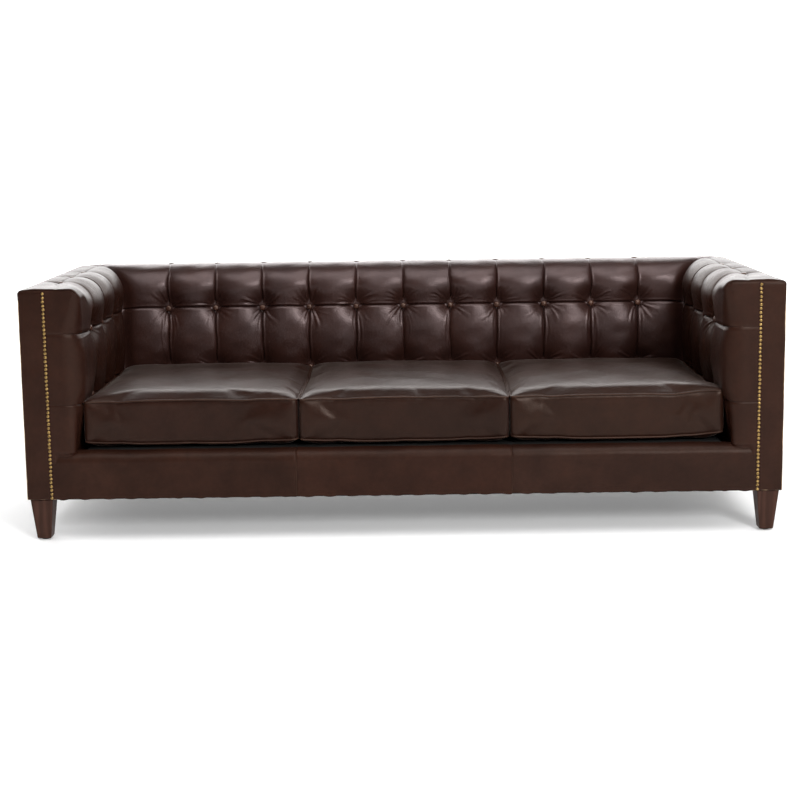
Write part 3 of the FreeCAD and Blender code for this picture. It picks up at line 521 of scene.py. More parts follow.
SZ, QA, QB, PH, SS = section()
S_ROW = [float(np.interp(z, SZ[:int(np.searchsorted(PH, 1e-6))], SS[:int(np.searchsorted(PH, 1e-6))])) for z in ROWZ]
S_ROLL = float(SS[np.searchsorted(PH, 1e-6) - 1])                 # about where the roll starts
S_TOP0 = float(SS[np.argmax(PH >= math.radians(89.99))])
S_ROW.append(S_TOP0 + TAU * (REAR - EDGE - BACK - ROLL))
S_EDGE = float(SS[np.argmax(PH > math.radians(90.5))])


def tufted(A, S, cols, ends, seed, puff, lip_side, soft=0.0085, arch=0.0075, quiet=None, last_arch=None, top_calm=0.55):
    """How far the leather stands from its plane at column place A and row place S: puffs, pleats, dimples, and the small folds round the buttons.
    Also how far a point slides along the section and along the row, where a pleat folds over."""
    rng = np.random.default_rng(seed)
    rows = [S_ROW[0] - 0.207, *S_ROW, S_EDGE + 0.012]
    edges = [ends[0], *cols, ends[1]]
    up = smooth01(S, S_ROLL + 0.02, S_TOP0 + 0.01)                # 0 on the face, 1 on the top
    calm = 1 - top_calm * up
    edge_fade = 1 - smooth01(S, S_EDGE - 0.028, S_EDGE + 0.006)
    if top_calm > 0.7:                                             # the back's top falls away to the rear
        edge_fade = np.clip((S_EDGE + 0.004 - S) / (S_EDGE - S_TOP0 + 0.012), 0, 1) ** 0.9
    q = np.ones_like(A) if quiet is None else quiet
    h = np.zeros_like(A) + puff
    # puffs
    ei, ri = np.array(edges), np.array(rows)
    ic = np.clip(np.searchsorted(ei, A) - 1, 0, len(ei) - 2)
    ir = np.clip(np.searchsorted(ri, S) - 1, 0, len(ri) - 2)
    u = (A - ei[ic]) / (ei[ic + 1] - ei[ic])
    v = (S - ri[ir]) / (ri[ir + 1] - ri[ir])
    size = rng.uniform(-0.0016, 0.0016, (len(rows), len(edges)))[ir, ic]
    su = np.abs(2 * u - 1) ** 2.7
    sv = np.abs(2 * v - 1) ** 2.6
    dome = (1 - su) * (1 - sv)
    h = h - soft * calm * q * (su + 0.9 * sv - 0.25 * su * sv) + size * dome * calm * q
    low = waves(seed + 5, 7, 0.05, 0.14)(A, S)
    h = h + 0.0010 * low * dome * q
    # distances
    dv = np.full(A.shape, 9.0)
    lip = np.zeros_like(A)
    for k, c in enumerate(cols):
        wob = 0.0012 * np.sin(S * 31 + k * 1.7) + 0.0009 * np.sin(S * 67 + k * 4.1)
        d = A - c
        near = np.abs(d) < np.abs(dv)
        dv = np.where(near, d, dv)
        lip = np.where(near, lip_side[k % len(lip_side)], lip)
    dh = np.full(A.shape, 9.0)
    for r in S_ROW:
        d = S - r
        dh = np.where(np.abs(d) < np.abs(dh), d, dh)
    top_row = np.abs(S - S_ROW[2]) < np.abs(S - S_ROW[1])
    # nearest button
    r2b = np.full(A.shape, 9.0)
    da_, ds_ = np.zeros_like(A), np.zeros_like(A)
    wr = np.zeros_like(A)
    for ib, r in enumerate(S_ROW):
        for jb, c in enumerate(cols):
            x, y = A - c, S - r
            rad = np.hypot(x, y)
            near = rad < r2b
            r2b = np.where(near, rad, r2b)
            g = rad < 0.075
            if not g.any():
                continue
            th = np.arctan2(y, x)
            n = 12 + int(rng.integers(0, 6)) if ib < 2 else 3
            acc = np.zeros_like(A)
            for _ in range(n):
                t0 = rng.choice([rng.uniform(0.75, 1.35), rng.uniform(1.8, 2.4), rng.uniform(3.5, 4.2), rng.uniform(5.2, 5.9), rng.uniform(0.2, 0.7), rng.uniform(2.5, 2.95)])
                wd = rng.uniform(0.038, 0.085)
                am = rng.uniform(0.0007, 0.0019) * (1 if ib < 2 else 0.35)
                ln = rng.uniform(0.018, 0.036)
                bend = rng.uniform(-7, 7)
                dt = (th - t0 - bend * (rad - 0.01) + math.pi) % (2 * math.pi) - math.pi
                ridge = np.exp(-(dt / wd) ** 2) - 0.65 * np.exp(-((np.abs(dt) - 1.9 * wd) / wd) ** 2)
                acc = acc + am * ridge * (rad / 0.012) ** 1.2 * np.exp(-np.minimum(60, (rad / ln) ** 1.6)) * 1.6
            wr = wr + np.where(g, acc, 0)
    nearb = np.exp(-(r2b / 0.034) ** 2)
    # vertical pleats
    fade_out = 1 - smooth01(S, S_EDGE - 0.035, S_EDGE + 0.004)
    lam = np.where(dv * lip > 0, 0.0011, 0.0034)
    deepv = (0.0048 * calm * (1 + 0.9 * nearb)) * fade_out * q
    h = h - deepv * np.exp(-np.abs(dv) / lam)
    h = h + 0.0019 * calm * q * fade_out * np.exp(-((dv * lip - 0.0046) / 0.0024) ** 2)
    da = -lip * 0.0011 * calm * q * fade_out * np.exp(-((dv * lip - 0.0016) / 0.0015) ** 2)
    # horizontal pleats: the upper puff folds over the lower one
    lamh = np.where(dh > 0, 0.0012, 0.0038)
    deeph = 0.0060 * (1 + 0.7 * nearb) * q * np.where(top_row, 0.42 * (1.6 - top_calm) / 1.05, 1.0)
    h = h - deeph * np.exp(-np.abs(dh) / lamh)
    h = h + 0.0011 * q * np.where(top_row, 0.2, 1.0) * (np.exp(-((dh - 0.0052) / 0.0028) ** 2) + 0.7 * np.exp(-((dh + 0.0085) / 0.0036) ** 2))
    ds = -0.0013 * q * np.where(top_row, 0.0, 1.0) * np.exp(-((dh - 0.0016) / 0.0015) ** 2)
    # funnels
    fun = np.zeros_like(A)
    for ib, r in enumerate(S_ROW):
        for c in cols:
            x, y = A - c, S - r
            rad = np.hypot(x * 1.0, y * np.where(y > 0, 0.70, 1.12))
            dep = 0.0310 if ib < 2 else 0.0060 * (1.6 - top_calm) / 1.05
            rho = 0.0300 if ib < 2 else 0.016
            f = dep * np.exp(-np.minimum(40, (rad / rho) ** 1.25))
            fun = np.maximum(fun, f)
    h = h - fun * np.maximum(q, 0.0)
    h = h + wr * q
    # long folds hanging beside the pleats under the upper row
    for k, c in enumerate(cols):
        for side in (-1, 1):
            if rng.random() < 0.45:
                continue
            for _ in range(int(rng.integers(1, 3))):
                o0, o1 = rng.uniform(0.006, 0.012), rng.uniform(0.004, 0.012)
                t = (S_ROW[1] - S) / (S_ROW[1] - S_ROW[0])
                a0, a1 = rng.uniform(0.06, 0.14), rng.uniform(0.45, 0.85)
                tt = np.clip((t - a0) / (a1 - a0), 0, 1)
                line = c + side * (o0 + o1 * np.sin(math.pi * tt))
                amp = rng.uniform(0.0008, 0.0017) * np.sin(math.pi * tt) ** 0.8
                d = A - line
                h = h + q * amp * (np.exp(-(d / 0.0022) ** 2) - 0.8 * np.exp(-((d + side * 0.0045) / 0.0022) ** 2))
    # the seat of each button
    floor_ = puff - 0.0365
    h = floor_ + np.logaddexp(0, (h - floor_) / 0.0016) * 0.0016
    for ib, r in enumerate(S_ROW):
        for c in cols:
            rad = np.hypot(A - c, S - r)
            w = np.exp(-np.minimum(60, (rad / 0.0085) ** 4))
            seat = puff - (0.0365 if ib < 2 else 0.0125 if top_calm < 0.7 else 0.0090)
            h = h * (1 - w) + seat * w
            da, ds = da * (1 - w), ds * (1 - w)
    h = h * edge_fade
    # the arch of the rows between two buttons
    arch_s = np.zeros_like(A)
    for i, r in enumerate(S_ROW[:2]):
        w = np.exp(-((S - r) / 0.05) ** 2)
        a = arch * np.clip(4 * u * (1 - u), 0, 1) ** 0.6
        if last_arch is not None:
            a = np.where(ic == len(ei) - 2, last_arch[i] * smooth01(u, 0, 1.0) ** 0.6, a)
            a = np.where(ic == 0, 0.5 * arch * np.clip(4 * u * (1 - u), 0, 1), a)
        arch_s = arch_s + a * w
    wob_a = np.zeros_like(A)
    for k, c in enumerate(cols):
        w = np.exp(-((A - c) / 0.03) ** 2) * np.clip(1 - nearb, 0, 1)
        wob_a = wob_a + w * (0.0013 * np.sin(S * 29 + k * 1.7 + seed) + 0.0008 * np.sin(S * 63 + k * 4.1))
    return h, da + wob_a * q, ds + arch_s


def seam_out(ph, sx):
    """The way inwards at the mitre between back and arm."""
    c, s = np.cos(ph), np.sin(ph)
    e = np.stack([-c * sx, -c, 2 * s], -1)
    return -e / np.maximum(np.linalg.norm(e, axis=-1), 1e-6)[..., None]


# ---------------------------------------------------------------- inside back
def back_skin():
    cols = COLS_B
    splits = [-FACE, COLS_B[3], COLS_B[7], FACE]
    lines = cols + [-FACE, FACE]
    a_all = samples(-FACE, FACE, lines, 0.0036)
    S = SS[:, None] + 0 * a_all[None]
    A = a_all[None] + 0 * S
    rng = np.random.default_rng(3)
    lips = rng.choice([1, 1, 1, -1], 11)
    lips[[0, 2, 5]] = [1, 1, -1]
    h, da, ds = tufted(A, S, cols, (-FACE, FACE), 11, 0.0062, lips, soft=0.0112, top_calm=0.86)
    return a_all, A, S, h, da, ds, splits


def back_points():
    a_all, A, S, h, da, ds, splits = back_skin()
    A2 = A + da
    S2 = S + ds
    z = np.interp(S2, SS, SZ)
    qb = np.interp(S2, SS, QB)
    ph = np.interp(S2, SS, PH)
    z0, qb0, qa0 = SZ[:, None], QB[:, None], QA[:, None]
    # the end cells widen towards the mitre
    xm = FACE + qa0
    last = COLS_B[-1]
    w = np.clip((np.abs(A2) - last) / (FACE - last), 0, 1)
    X = np.where(np.abs(A2) > last, np.sign(A2) * (last + w * (xm - last)), A2)
    d_end = (FACE - np.abs(A)) * (xm - last) / (FACE - last)
    h = h - 0.008 * np.exp(-(np.maximum(d_end, 0) / 0.015) ** 1.5)
    n = np.stack([np.zeros_like(ph), -np.cos(ph), np.sin(ph)], -1)
    P = np.stack([X, BACK + qb, z], -1) + n * h[..., None]
    # both leathers turn inwards at the mitre
    wE = np.exp(-(np.maximum(d_end, 0) / 0.0065) ** 1.6)
    for sx in (-1, 1):
        m = (np.sign(A) == sx)[..., None]
        seam = np.stack([sx * (FACE + qa0) + 0 * A, BACK + qb0 + 0 * A, z0 + 0 * A], -1)
        target = seam + seam_out(np.broadcast_to(PH[:, None], A.shape), sx) * 0.021
        P = np.where(m, P * (1 - wE[..., None]) + (target + (P - seam) * 0.35 * (1 - wE[..., None])) * wE[..., None], P)
    return a_all, P, splits


def build_back():
    a_all, P, splits = back_points()
    out = []
    for name, lo, hi in zip(("left", "center", "right"), splits, splits[1:]):
        i0, i1 = int(np.argmin(np.abs(a_all - lo))), int(np.argmin(np.abs(a_all - hi)))
        p = P[:, i0:i1 + 1]
        o = make_mesh(f"back_tufted_{name}", p.reshape(-1, 3), grid_quads(p.shape[0], p.shape[1]))
        out.append(o)
    for o in out:
        finish_piece(o, L_BACK)
    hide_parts("back_leather_inside", "back_foam")
    return P, a_all


# ---------------------------------------------------------------- inside arms
def front_radius(ph, z):
    """The front corner's radius: wide on the inner face, small under the roll and along the top."""
    deg = np.degrees(ph)
    face = 0.056 - (0.056 - 0.027) * smooth01(z, 0.625, 0.722)
    return np.where(ph < 1e-6, face, 0.0075 + (0.027 - 0.0075) * (1 - smooth01(deg, 0, 66)))


def build_arm(sx, seed, arch_end):
    """One arm's inside leather, from the mitre forwards, round the front corner and across to the nail line."""
    ya, yb = -BACK, 0.437
    y_front = FRONT + 0.0011
    lastc = COLS_A[-1]
    a1 = samples(-BACK, 0.3570, COLS_A + [-BACK], 0.0038)
    n_arc, n_flat = 26, 16
    a2 = 0.3570 + 0.125 * np.linspace(0, 1, n_arc + 1)[1:]                  # the corner, as if its arc were 125 mm
    fl = np.concatenate([np.linspace(0, 1, n_flat + 1)[1:-3], [0.80, 0.88, 0.93, 0.965, 0.985, 1.0]])
    a3 = a2[-1] + 0.030 * np.unique(np.round(fl, 5))
    a = np.concatenate([a1, a2, a3])
    nA = len(a)
    S = SS[:, None] + 0 * a[None]
    A = a[None] + 0 * S
    lips = [1, -1, 1] if sx < 0 else [-1, 1, 1]
    # the flat front is calmer than the inner face
    q = 1 - 0.72 * smooth01(A, 0.345, 0.470)
    q = q * (1 - 0.55 * smooth01(S, S_ROLL + 0.06, S_TOP0 + 0.02) * smooth01(A, 0.30, 0.42))
    zz = np.interp(S, SS, SZ)
    face = 1 - smooth01(S, S_ROLL, S_TOP0)
    puff = 0.0050 + 0.0010 * smooth01(zz, 0.44, 0.50) * face * (1 - smooth01(A, 0.36, 0.47)) - (0.0105 + 0.026 * smooth01(A, 0.24, 0.34)) * (1 - smooth01(zz, 0.25, 0.455)) * (1 - smooth01(A, 0.40, 0.48))
    puff = puff - 0.0055 * smooth01(A, 0.43, 0.475) * (1 - smooth01(S, S_TOP0 - 0.03, S_TOP0 + 0.02))
    h, da, ds = tufted(A, S, COLS_A, (-BACK, float(a[-1]) + 0.02), seed, puff, lips, soft=0.0095, arch=0.0030, quiet=q, last_arch=arch_end)
    S2 = S + ds
    A2 = A + da
    z = np.interp(S2, SS, SZ)
    qa = np.interp(S2, SS, QA)
    qb = np.interp(S2, SS, QB)
    ph = np.interp(S2, SS, PH)
    # towards the front the roll tightens and the section grows squarer
    tight = smooth01(A2, 0.225, 0.345)
    r2 = ROLL + (0.030 - ROLL) * tight
    z = np.where((ph <= 1e-6) & (z > ROWZ[1]), ROWZ[1] + (z - ROWZ[1]) * (TOP - r2 - ROWZ[1]) / (RZ - ROWZ[1]), z)
    roll_ = (ph > 1e-6) & (ph < math.radians(89.999))
    z = np.where(roll_, TOP - r2 * (1 - np.sin(ph)), z)
    qa = np.where(roll_, r2 * (1 - np.cos(ph)), qa)
    wa_ = SIDE - EDGE - FACE - ROLL
    flat_ = (ph >= math.radians(89.999)) & (ph < math.radians(90.001)) & (qa <= ROLL + wa_ + 1e-6)
    qa = np.where(flat_, r2 + (qa - ROLL) * (wa_ + ROLL - r2) / wa_, qa)
    R = front_radius(ph, z)
    # over the outer part of the top the edge stays small
    n0 = np.stack([-sx * np.cos(ph), np.zeros_like(ph), np.sin(ph)], -1)
    prof = np.stack([sx * (FACE + qa), np.zeros_like(qa), z], -1)
    yf = y_front + R                                                     # the straight part ends here
    # straight part: the end cell widens to the mitre, and the front one stretches to the corner
    w = np.clip((-A2 - (-COLS_A[0])) / (BACK - (-COLS_A[0])), 0, 1)
    y_str = np.where(A2 < COLS_A[0], -COLS_A[0] + w * (BACK + qb + COLS_A[0]), -A2)
    k = np.clip((A2 - lastc) / (0.3570 - lastc), 0, 1)
    y_str = np.where(A2 > lastc, -lastc + k * (yf + lastc), y_str)
    e_arc = np.clip((A - 0.3570) / 0.125, 0, 1)
    th = e_arc * math.pi / 2
    front = np.array([0, -1.0, 0])
    nn = n0 * np.cos(th)[..., None] + front * np.sin(th)[..., None]
    y_here = np.where(A <= 0.3570, y_str, yf)
    P = prof + np.stack([np.zeros_like(y_here), y_here, np.zeros_like(y_here)], -1)
    arc = P - R[..., None] * n0 + R[..., None] * nn
    P = np.where((A > 0.3570)[..., None], arc, P)
    # the flat of the front, on to the nail line
    b = np.clip((A - a2[-1]) / 0.030, 0, 1)
    xq = P[..., 0] * sx
    zq = np.minimum(P[..., 2], TOP - 0.0075)
    xt = np.maximum(NAILX + 0.0012, xq + 0.0005)
    X = xq + b * (xt - xq)
    P = np.where((A > a2[-1])[..., None], np.stack([sx * X, P[..., 1], zq + 0 * X], -1), P)
    # the sharp fold along the front's top edge
    hi = smooth01(np.degrees(ph), 30, 50)
    under_lip = hi * 0.0050 * np.exp(-((e_arc - 0.46) / 0.075) ** 2)
    # the flat of the front carries only the ends of the two pleats
    onfront = smooth01(A, 0.385, 0.462)
    calm_h = 0.0008 + 0 * A
    for i_, r_ in enumerate(S_ROW[:2]):
        d_ = S - r_
        fade_ = (0.0026, 0.0034)[i_] * (1 - 0.55 * smooth01(A, 0.44, 0.51))
        calm_h = calm_h - fade_ * np.exp(-np.abs(d_) / np.where(d_ > 0, 0.0012, 0.0030)) + 0.0007 * np.exp(-((d_ + 0.0075) / 0.004) ** 2)
    h = h * (1 - onfront) + calm_h * onfront
    # it dips to the nails
    dn = np.abs(np.abs(P[..., 0]) - NAILX)
    h = h - 0.0005 * np.exp(-(dn / 0.007) ** 2) * onfront
    h = np.where(A > 0.3570, np.minimum(h, 0.004 * (1 - onfront) + 0.0008 + (1 - smooth01(A, 0.3570, 0.44)) * 0.02), h)
    xa = np.abs(P[..., 0])
    h = np.where((xa > 1.018) & (A > 0.45), np.maximum(h, -0.0005), h)
    h = h - under_lip * (A > 0.3570)
    # mitre
    d_end = (A + BACK) * (BACK + QB[:, None] + COLS_A[0]) / (BACK + COLS_A[0])
    h = h - 0.008 * np.exp(-(np.maximum(d_end, 0) / 0.015) ** 1.5)
    P = P + nn * h[..., None]
    wE = np.exp(-(np.maximum(d_end, 0) / 0.0060) ** 1.6)[..., None]
    seam = np.stack([sx * (FACE + QA[:, None]) + 0 * A, BACK + QB[:, None] + 0 * A, SZ[:, None] + 0 * A], -1)
    target = seam + seam_out(np.broadcast_to(PH[:, None], A.shape), sx) * 0.021
    P = P * (1 - wE) + (target + (P - seam) * 0.35 * (1 - wE)) * wE
    P[..., 1] = np.maximum(P[..., 1], FRONT)
    tuck = (1 - smooth01(P[..., 2], 0.2610, 0.2680)) * (1 - smooth01(np.abs(P[..., 0]), 1.018, 1.031)) * (A > 0.3570)
    P[..., 1] = P[..., 1] + 0.008 * tuck
    side = "left" if sx < 0 else "right"
    j = int(np.argmin(np.abs(a - COLS_A[1])))
    for part, lo, hi_ in (("rear", 0, j), ("front", j, nA - 1)):
        p = P[:, lo:hi_ + 1]
        o = make_mesh(f"arm_tufted_{side}_{part}", p.reshape(-1, 3), grid_quads(p.shape[0], p.shape[1], flip=sx < 0))
        finish_piece(o, L_ARM)
    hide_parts(f"arm_leather_inside_{side}", f"arm_foam_{side}")
    return P, a


# ---------------------------------------------------------------- buttons
def button_profile():
    r = 0.0095
    pts = [(r * 0.72, -0.0100), (r * 0.86, -0.0050), (r * 0.98, -0.0018), (r, 0.0)]
    for t in np.linspace(0.15, 1.0, 7):
        a = t * math.pi / 2
        pts.append((r * math.cos(a) ** 0.8 if t < 1 else 0.0004, 0.0046 * math.sin(a)))
    return pts


def build_buttons(P_back, a_back, arms):
    def at(P, a, col, s):
        i, j = int(np.argmin(np.abs(SS - s))), int(np.argmin(np.abs(a - col)))
        return P[i, j]
    rng = np.random.default_rng(21)
    prof = button_profile()
    top = [(r * 0.92, h * 0.9) for r, h in prof]
    pl, ax, sc = [], [], []
    for c in COLS_B:
        for k, s in enumerate(S_ROW):
            p = at(P_back, a_back, c, s)
            n = np.array([rng.uniform(-0.10, 0.10), -1.0, rng.uniform(-0.05, 0.12)]) if k < 2 else np.array([rng.uniform(-0.06, 0.06), -0.05, 1.0])
            n /= np.linalg.norm(n)
            pl.append(p + n * (0.0118 if k < 2 else 0.0036))
            ax.append(n)
            sc.append(rng.uniform(0.95, 1.04))
    v, f = lathe_parts(prof, 24, pl, ax, sc)
    o = make_mesh("back_button_set", v, f)
    finish_piece(o, L_BUTTON, nodes=("back_buttons",))
    pl, ax, sc = [], [], []
    for sx, (P, a) in arms.items():
        for c in COLS_A:
            for k, s in enumerate(S_ROW):
                p = at(P, a, c, s)
                n = np.array([-sx, rng.uniform(-0.12, 0.05), rng.uniform(-0.05, 0.1)]) if k < 2 else np.array([-sx * 0.05, rng.uniform(-0.05, 0.05), 1.0])
                n /= np.linalg.norm(n)
                pl.append(p + n * (0.0118 if k < 2 else 0.0036))
                ax.append(n)
                sc.append(rng.uniform(0.95, 1.04))
    v, f = lathe_parts(prof, 24, pl, ax, sc)
    o = make_mesh("arm_button_set", v, f)
    finish_piece(o, L_BUTTON, nodes=("arm_buttons",))


# ---------------------------------------------------------------- flat panels
def panel(name, us, vs, fn, flip=False, mat=None, nodes=()):
    """A leather panel over two lists of places. fn gives the points."""
    U, V = np.meshgrid(us, vs)
    P = fn(U, V)
    o = make_mesh(name, P.reshape(-1, 3), grid_quads(len(vs), len(us), flip=flip))
    finish_piece(o, mat, nodes=nodes)
    return o


def edge_list(lo, hi, step, r=0.008, n=5):
    """Places from lo to hi with more near both ends, for a rolled edge."""
    t = np.array([0, 0.06, 0.16, 0.30, 0.5, 0.75, 1.0]) * r
    a = lo + t
    b = hi - t[::-1]
    m = np.linspace(a[-1], b[0], max(2, int((b[0] - a[-1]) / step) + 1))[1:-1]
    return np.concatenate([a, m, b])


def roll_in(d, r, depth):
    """How far a panel falls back at distance d from its edge."""
    t = np.clip(1 - d / r, 0, 1)
    return depth * (1 - np.sqrt(np.maximum(0, 1 - t * t)))


def build_front_strips():
    for sx, side in ((-1, "left"), (1, "right")):
        us = np.concatenate([edge_list(NAILX - 0.0008, 1.1132, 0.006, 0.008), 1.1132 + np.array([0.0015, 0.003, 0.0045, 0.006, 0.0078, 0.0095, 0.012, 0.016])])
        vs = np.concatenate([edge_list(0.1268, 0.7505, 0.009, 0.010), 0.7505 + np.array([0.0001])])
        nz = waves(40 + sx, 6, 0.04, 0.16)

        def fn(U, V, sx=sx, nz=nz):
            y = FRONT + 0.0007 + 0 * U
            y = y + 0.0005 * nz(U * 1.5, V) * smooth01(U, NAILX, NAILX + 0.02)
            y = y + 0.0003 * np.exp(-((U - NAILX) / 0.006) ** 2)
            y = y + roll_in(0.7505 - V, 0.0095, 0.0120) + roll_in(V - 0.1268, 0.004, 0.003)
            corner = np.clip(1 - np.hypot(np.maximum(0, U - 1.108) / 0.0115, np.maximum(0, V - 0.738) / 0.0115), -1, 1)
            # the outer top corner is rounded
            du, dv = np.maximum(0, U - 1.1055), np.maximum(0, V - 0.7385)
            rad = np.hypot(du, dv)
            k = np.where(rad > 0.0120, 0.0120 / np.maximum(rad, 1e-9), 1.0)
            U2 = np.where((du > 0) & (dv > 0), 1.1055 + du * k, U)
            V2 = np.where((du > 0) & (dv > 0), 0.7385 + dv * k, V)
            V2 = V2 - 0.0022 * np.exp(-((U2 - NAILX) / 0.010) ** 2) * smooth01(V2, 0.72, 0.75) + 0.0010 * np.sin((U2 - NAILX) / 0.075 * math.pi) * smooth01(V2, 0.735, 0.75)
            V2 = V2 + 0.0011 * nz(U2 * 3 + 1, 0 * V2) * (1 - smooth01(V2, 0.127, 0.16))
            # round the post's outer corner
            t = np.clip(U2 - 1.1132, 0, 1)
            a = np.clip(t / 0.0095, 0, 1) * math.pi / 2
            U2 = np.where(t > 0, 1.1132 + 0.0062 * np.sin(a), U2)
            y = y + np.where(t > 0, 0.0062 * (1 - np.cos(a)) + np.maximum(0, t - 0.0095), 0)
            return np.stack([sx * U2, np.maximum(y, FRONT), V2], -1)
        panel(f"arm_front_strip_{side}", us, vs, fn, flip=sx < 0, mat=L_BORDER, nodes=(f"arm_front_leather_{side}",))


def build_outside():
    """Outer arm panels and the three panels of the outside back."""
    for sx, side in ((-1, "left"), (1, "right")):
        us = edge_list(-0.4268, 0.4375, 0.011, 0.006)
        vs = edge_list(0.1268, 0.7400, 0.010, 0.010)
        nz = waves(60 + sx, 8, 0.10, 0.42)

        def fn(U, V, sx=sx, nz=nz):
            d = U + 0.4268
            x = SIDE - 0.0004 - 0.0012 * (1 - np.abs(nz(U, V))) + 0 * U
            x = x - roll_in(d, 0.004, 0.0018) - roll_in(0.4375 - U, 0.009, 0.0060) - roll_in(0.7400 - V, 0.004, 0.0035) - roll_in(V - 0.1268, 0.004, 0.003)
            V2 = V + 0.0011 * waves(75 + sx, 5, 0.03, 0.12)(U, 0 * U) * (1 - smooth01(V, 0.127, 0.17))
            return np.stack([sx * x, U, V2], -1)
        panel(f"arm_outside_panel_{side}", us, vs, fn, flip=sx < 0, mat=L_OUT, nodes=(f"arm_leather_outside_{side}",))
        # a welt covers the seam between the outer panel and the arm's top leather
        y = np.linspace(-0.424, 0.437, 150)
        path = np.stack([np.full_like(y, sx * (SIDE - 0.0022)), y, 0.7402 + 0.0004 * np.sin(y * 23)], 1)
        w = tube(f"arm_top_welt_{side}", path, 0.0024, 8, closed=False)
        finish_piece(w, L_WELT)
    # welts close the rear corners and the two seams of the outside back
    zz = np.linspace(0.1272, 0.7396, 120)
    for name, x, y, r in (("rear_corner_welt_left", -1.1170, 0.4374, 0.0036), ("rear_corner_welt_right", 1.1170, 0.4374, 0.0036), ("back_seam_welt_left", -0.3735, 0.4378, 0.0022), ("back_seam_welt_right", 0.3735, 0.4378, 0.0022)):
        path = np.stack([x + 0.0003 * np.sin(zz * 31 + x), y + 0.0002 * np.sin(zz * 23), zz], 1)
        finish_piece(tube(name, path, r, 10, closed=False), L_WELT)
    xs = [-1.1190, -0.3735, 0.3735, 1.1190]
    for i, name in enumerate(("left", "center", "right")):
        us = edge_list(xs[i], xs[i + 1], 0.012, 0.008)
        vs = edge_list(0.1268, 0.7400, 0.010, 0.010)
        nz = waves(80 + i, 8, 0.12, 0.5)

        def fn(U, V, nz=nz, lo=xs[i], hi=xs[i + 1]):
            d = np.minimum(U - lo, hi - U)
            outer = (np.abs(np.where(U - lo < hi - U, lo, hi)) > 1.0)
            y = REAR - 0.0005 - 0.0012 * (1 - np.abs(nz(U, V)))
            y = y - roll_in(d, 0.006, 0.0024) * ~outer - roll_in(d, 0.009, 0.0060) * outer
            y = y - roll_in(0.7400 - V, 0.004, 0.0035) - roll_in(V - 0.1268, 0.004, 0.003)
            V2 = V + 0.0011 * waves(91 + int(lo * 10), 5, 0.03, 0.12)(U, 0 * U) * (1 - smooth01(V, 0.127, 0.17))
            return np.stack([U, y, V2], -1)
        o = panel(f"back_outside_panel_{name}", us, vs, fn, flip=True, mat=L_OUT)
        if i == 1:
            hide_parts("back_leather_outside")
    x = np.linspace(-1.117, 1.117, 320)
    path = np.stack([x, np.full_like(x, REAR - 0.0022), 0.7402 + 0.0004 * np.sin(x * 19)], 1)
    w = tube("back_top_welt", path, 0.0024, 8, closed=False)
    finish_piece(w, L_WELT)
    for k, x0 in enumerate(xs[1:3]):
        z = np.linspace(0.1275, 0.7375, 110)
        path = np.stack([np.full_like(z, x0), np.full_like(z, REAR - 0.0026), z], 1)
        w = tube(f"back_outside_seam_{k}", path, 0.0016, 8, closed=False, up=(0, 1, 0))
        finish_piece(w, L_WELT)


def build_rail():
    """The front rail's leather: three sewn panels over a padded rail."""
    xs = [-NAILX - 0.0006, -0.3200, 0.3180, NAILX + 0.0006]
    R = 0.030
    z1 = 0.2665
    s = []
    prof = []
    for z in edge_list(0.1268, z1 - R, 0.008, 0.006):
        prof.append((FRONT + 0.0012, z, -1.0, 0.0))
    for a in np.linspace(0, math.pi / 2, 13)[1:]:
        prof.append((FRONT + 0.0012 + R * (1 - math.cos(a)), z1 - R + R * math.sin(a), -math.cos(a), math.sin(a)))
    for y in np.linspace(FRONT + 0.0012 + R, -0.384, 9)[1:]:
        prof.append((y, z1, 0.0, 1.0))
    prof.append((-0.3815, z1 - 0.002, 0.5, 0.5))
    prof = np.array(prof)
    s = np.concatenate([[0], np.cumsum(np.hypot(np.diff(prof[:, 0]), np.diff(prof[:, 1])))])
    for i, name in enumerate(("left", "center", "right")):
        us = edge_list(xs[i], xs[i + 1], 0.007, 0.007)
        nz = waves(120 + i, 9, 0.06, 0.30)
        n2 = waves(140 + i, 6, 0.025, 0.08)
        U, Si = np.meshgrid(us, s)
        pr = [np.interp(Si, s, prof[:, k]) for k in range(4)]
        d = np.minimum(U - xs[i], xs[i + 1] - U)
        outer = (np.abs(np.where(U - xs[i] < xs[i + 1] - U, xs[i], xs[i + 1])) > 1.0)
        h = 0.0011 * nz(U, Si) - np.where(outer, 0.0, roll_in(d, 0.0055, 0.0034))
        h = h + 0.0004 * n2(U, Si) * np.exp(-np.maximum(0, 0.16 - Si) / 0.04)
        hem = 1 - smooth01(Si, 0.0, 0.03)
        P = np.stack([U, pr[0] + pr[2] * h, pr[1] + pr[3] * h + hem * (0.0013 * n2(U, 0 * U) + 0.0009 * np.sin(U * 95 + i))], -1)
        P[..., 1] = P[..., 1] + roll_in(Si, 0.004, 0.003)
        P[..., 1] = np.maximum(P[..., 1], FRONT)
        o = make_mesh(f"front_rail_panel_{name}", P.reshape(-1, 3), grid_quads(len(s), len(us)))
        finish_piece(o, L_RAIL[i])
        if i == 1:
            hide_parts("front_rail_leather", "front_rail_padding")
    # the seams: a narrow turned edge down each join
    for k, x0 in enumerate(xs[1:3]):
        zz = np.interp(np.linspace(0.001, s[-1] - 0.004, 90), s, prof[:, 1])
        yy = np.interp(np.linspace(0.001, s[-1] - 0.004, 90), s, prof[:, 0])
        ny = np.interp(np.linspace(0.001, s[-1] - 0.004, 90), s, prof[:, 2])
        nz_ = np.interp(np.linspace(0.001, s[-1] - 0.004, 90), s, prof[:, 3])
        path = np.stack([np.full(90, x0), yy - ny * 0.0026, zz - nz_ * 0.0026], 1)
        w = tube(f"front_rail_seam_{k}", path, 0.0014, 8, closed=False, up=(1, 0, 0))
        finish_piece(w, L_WELT)


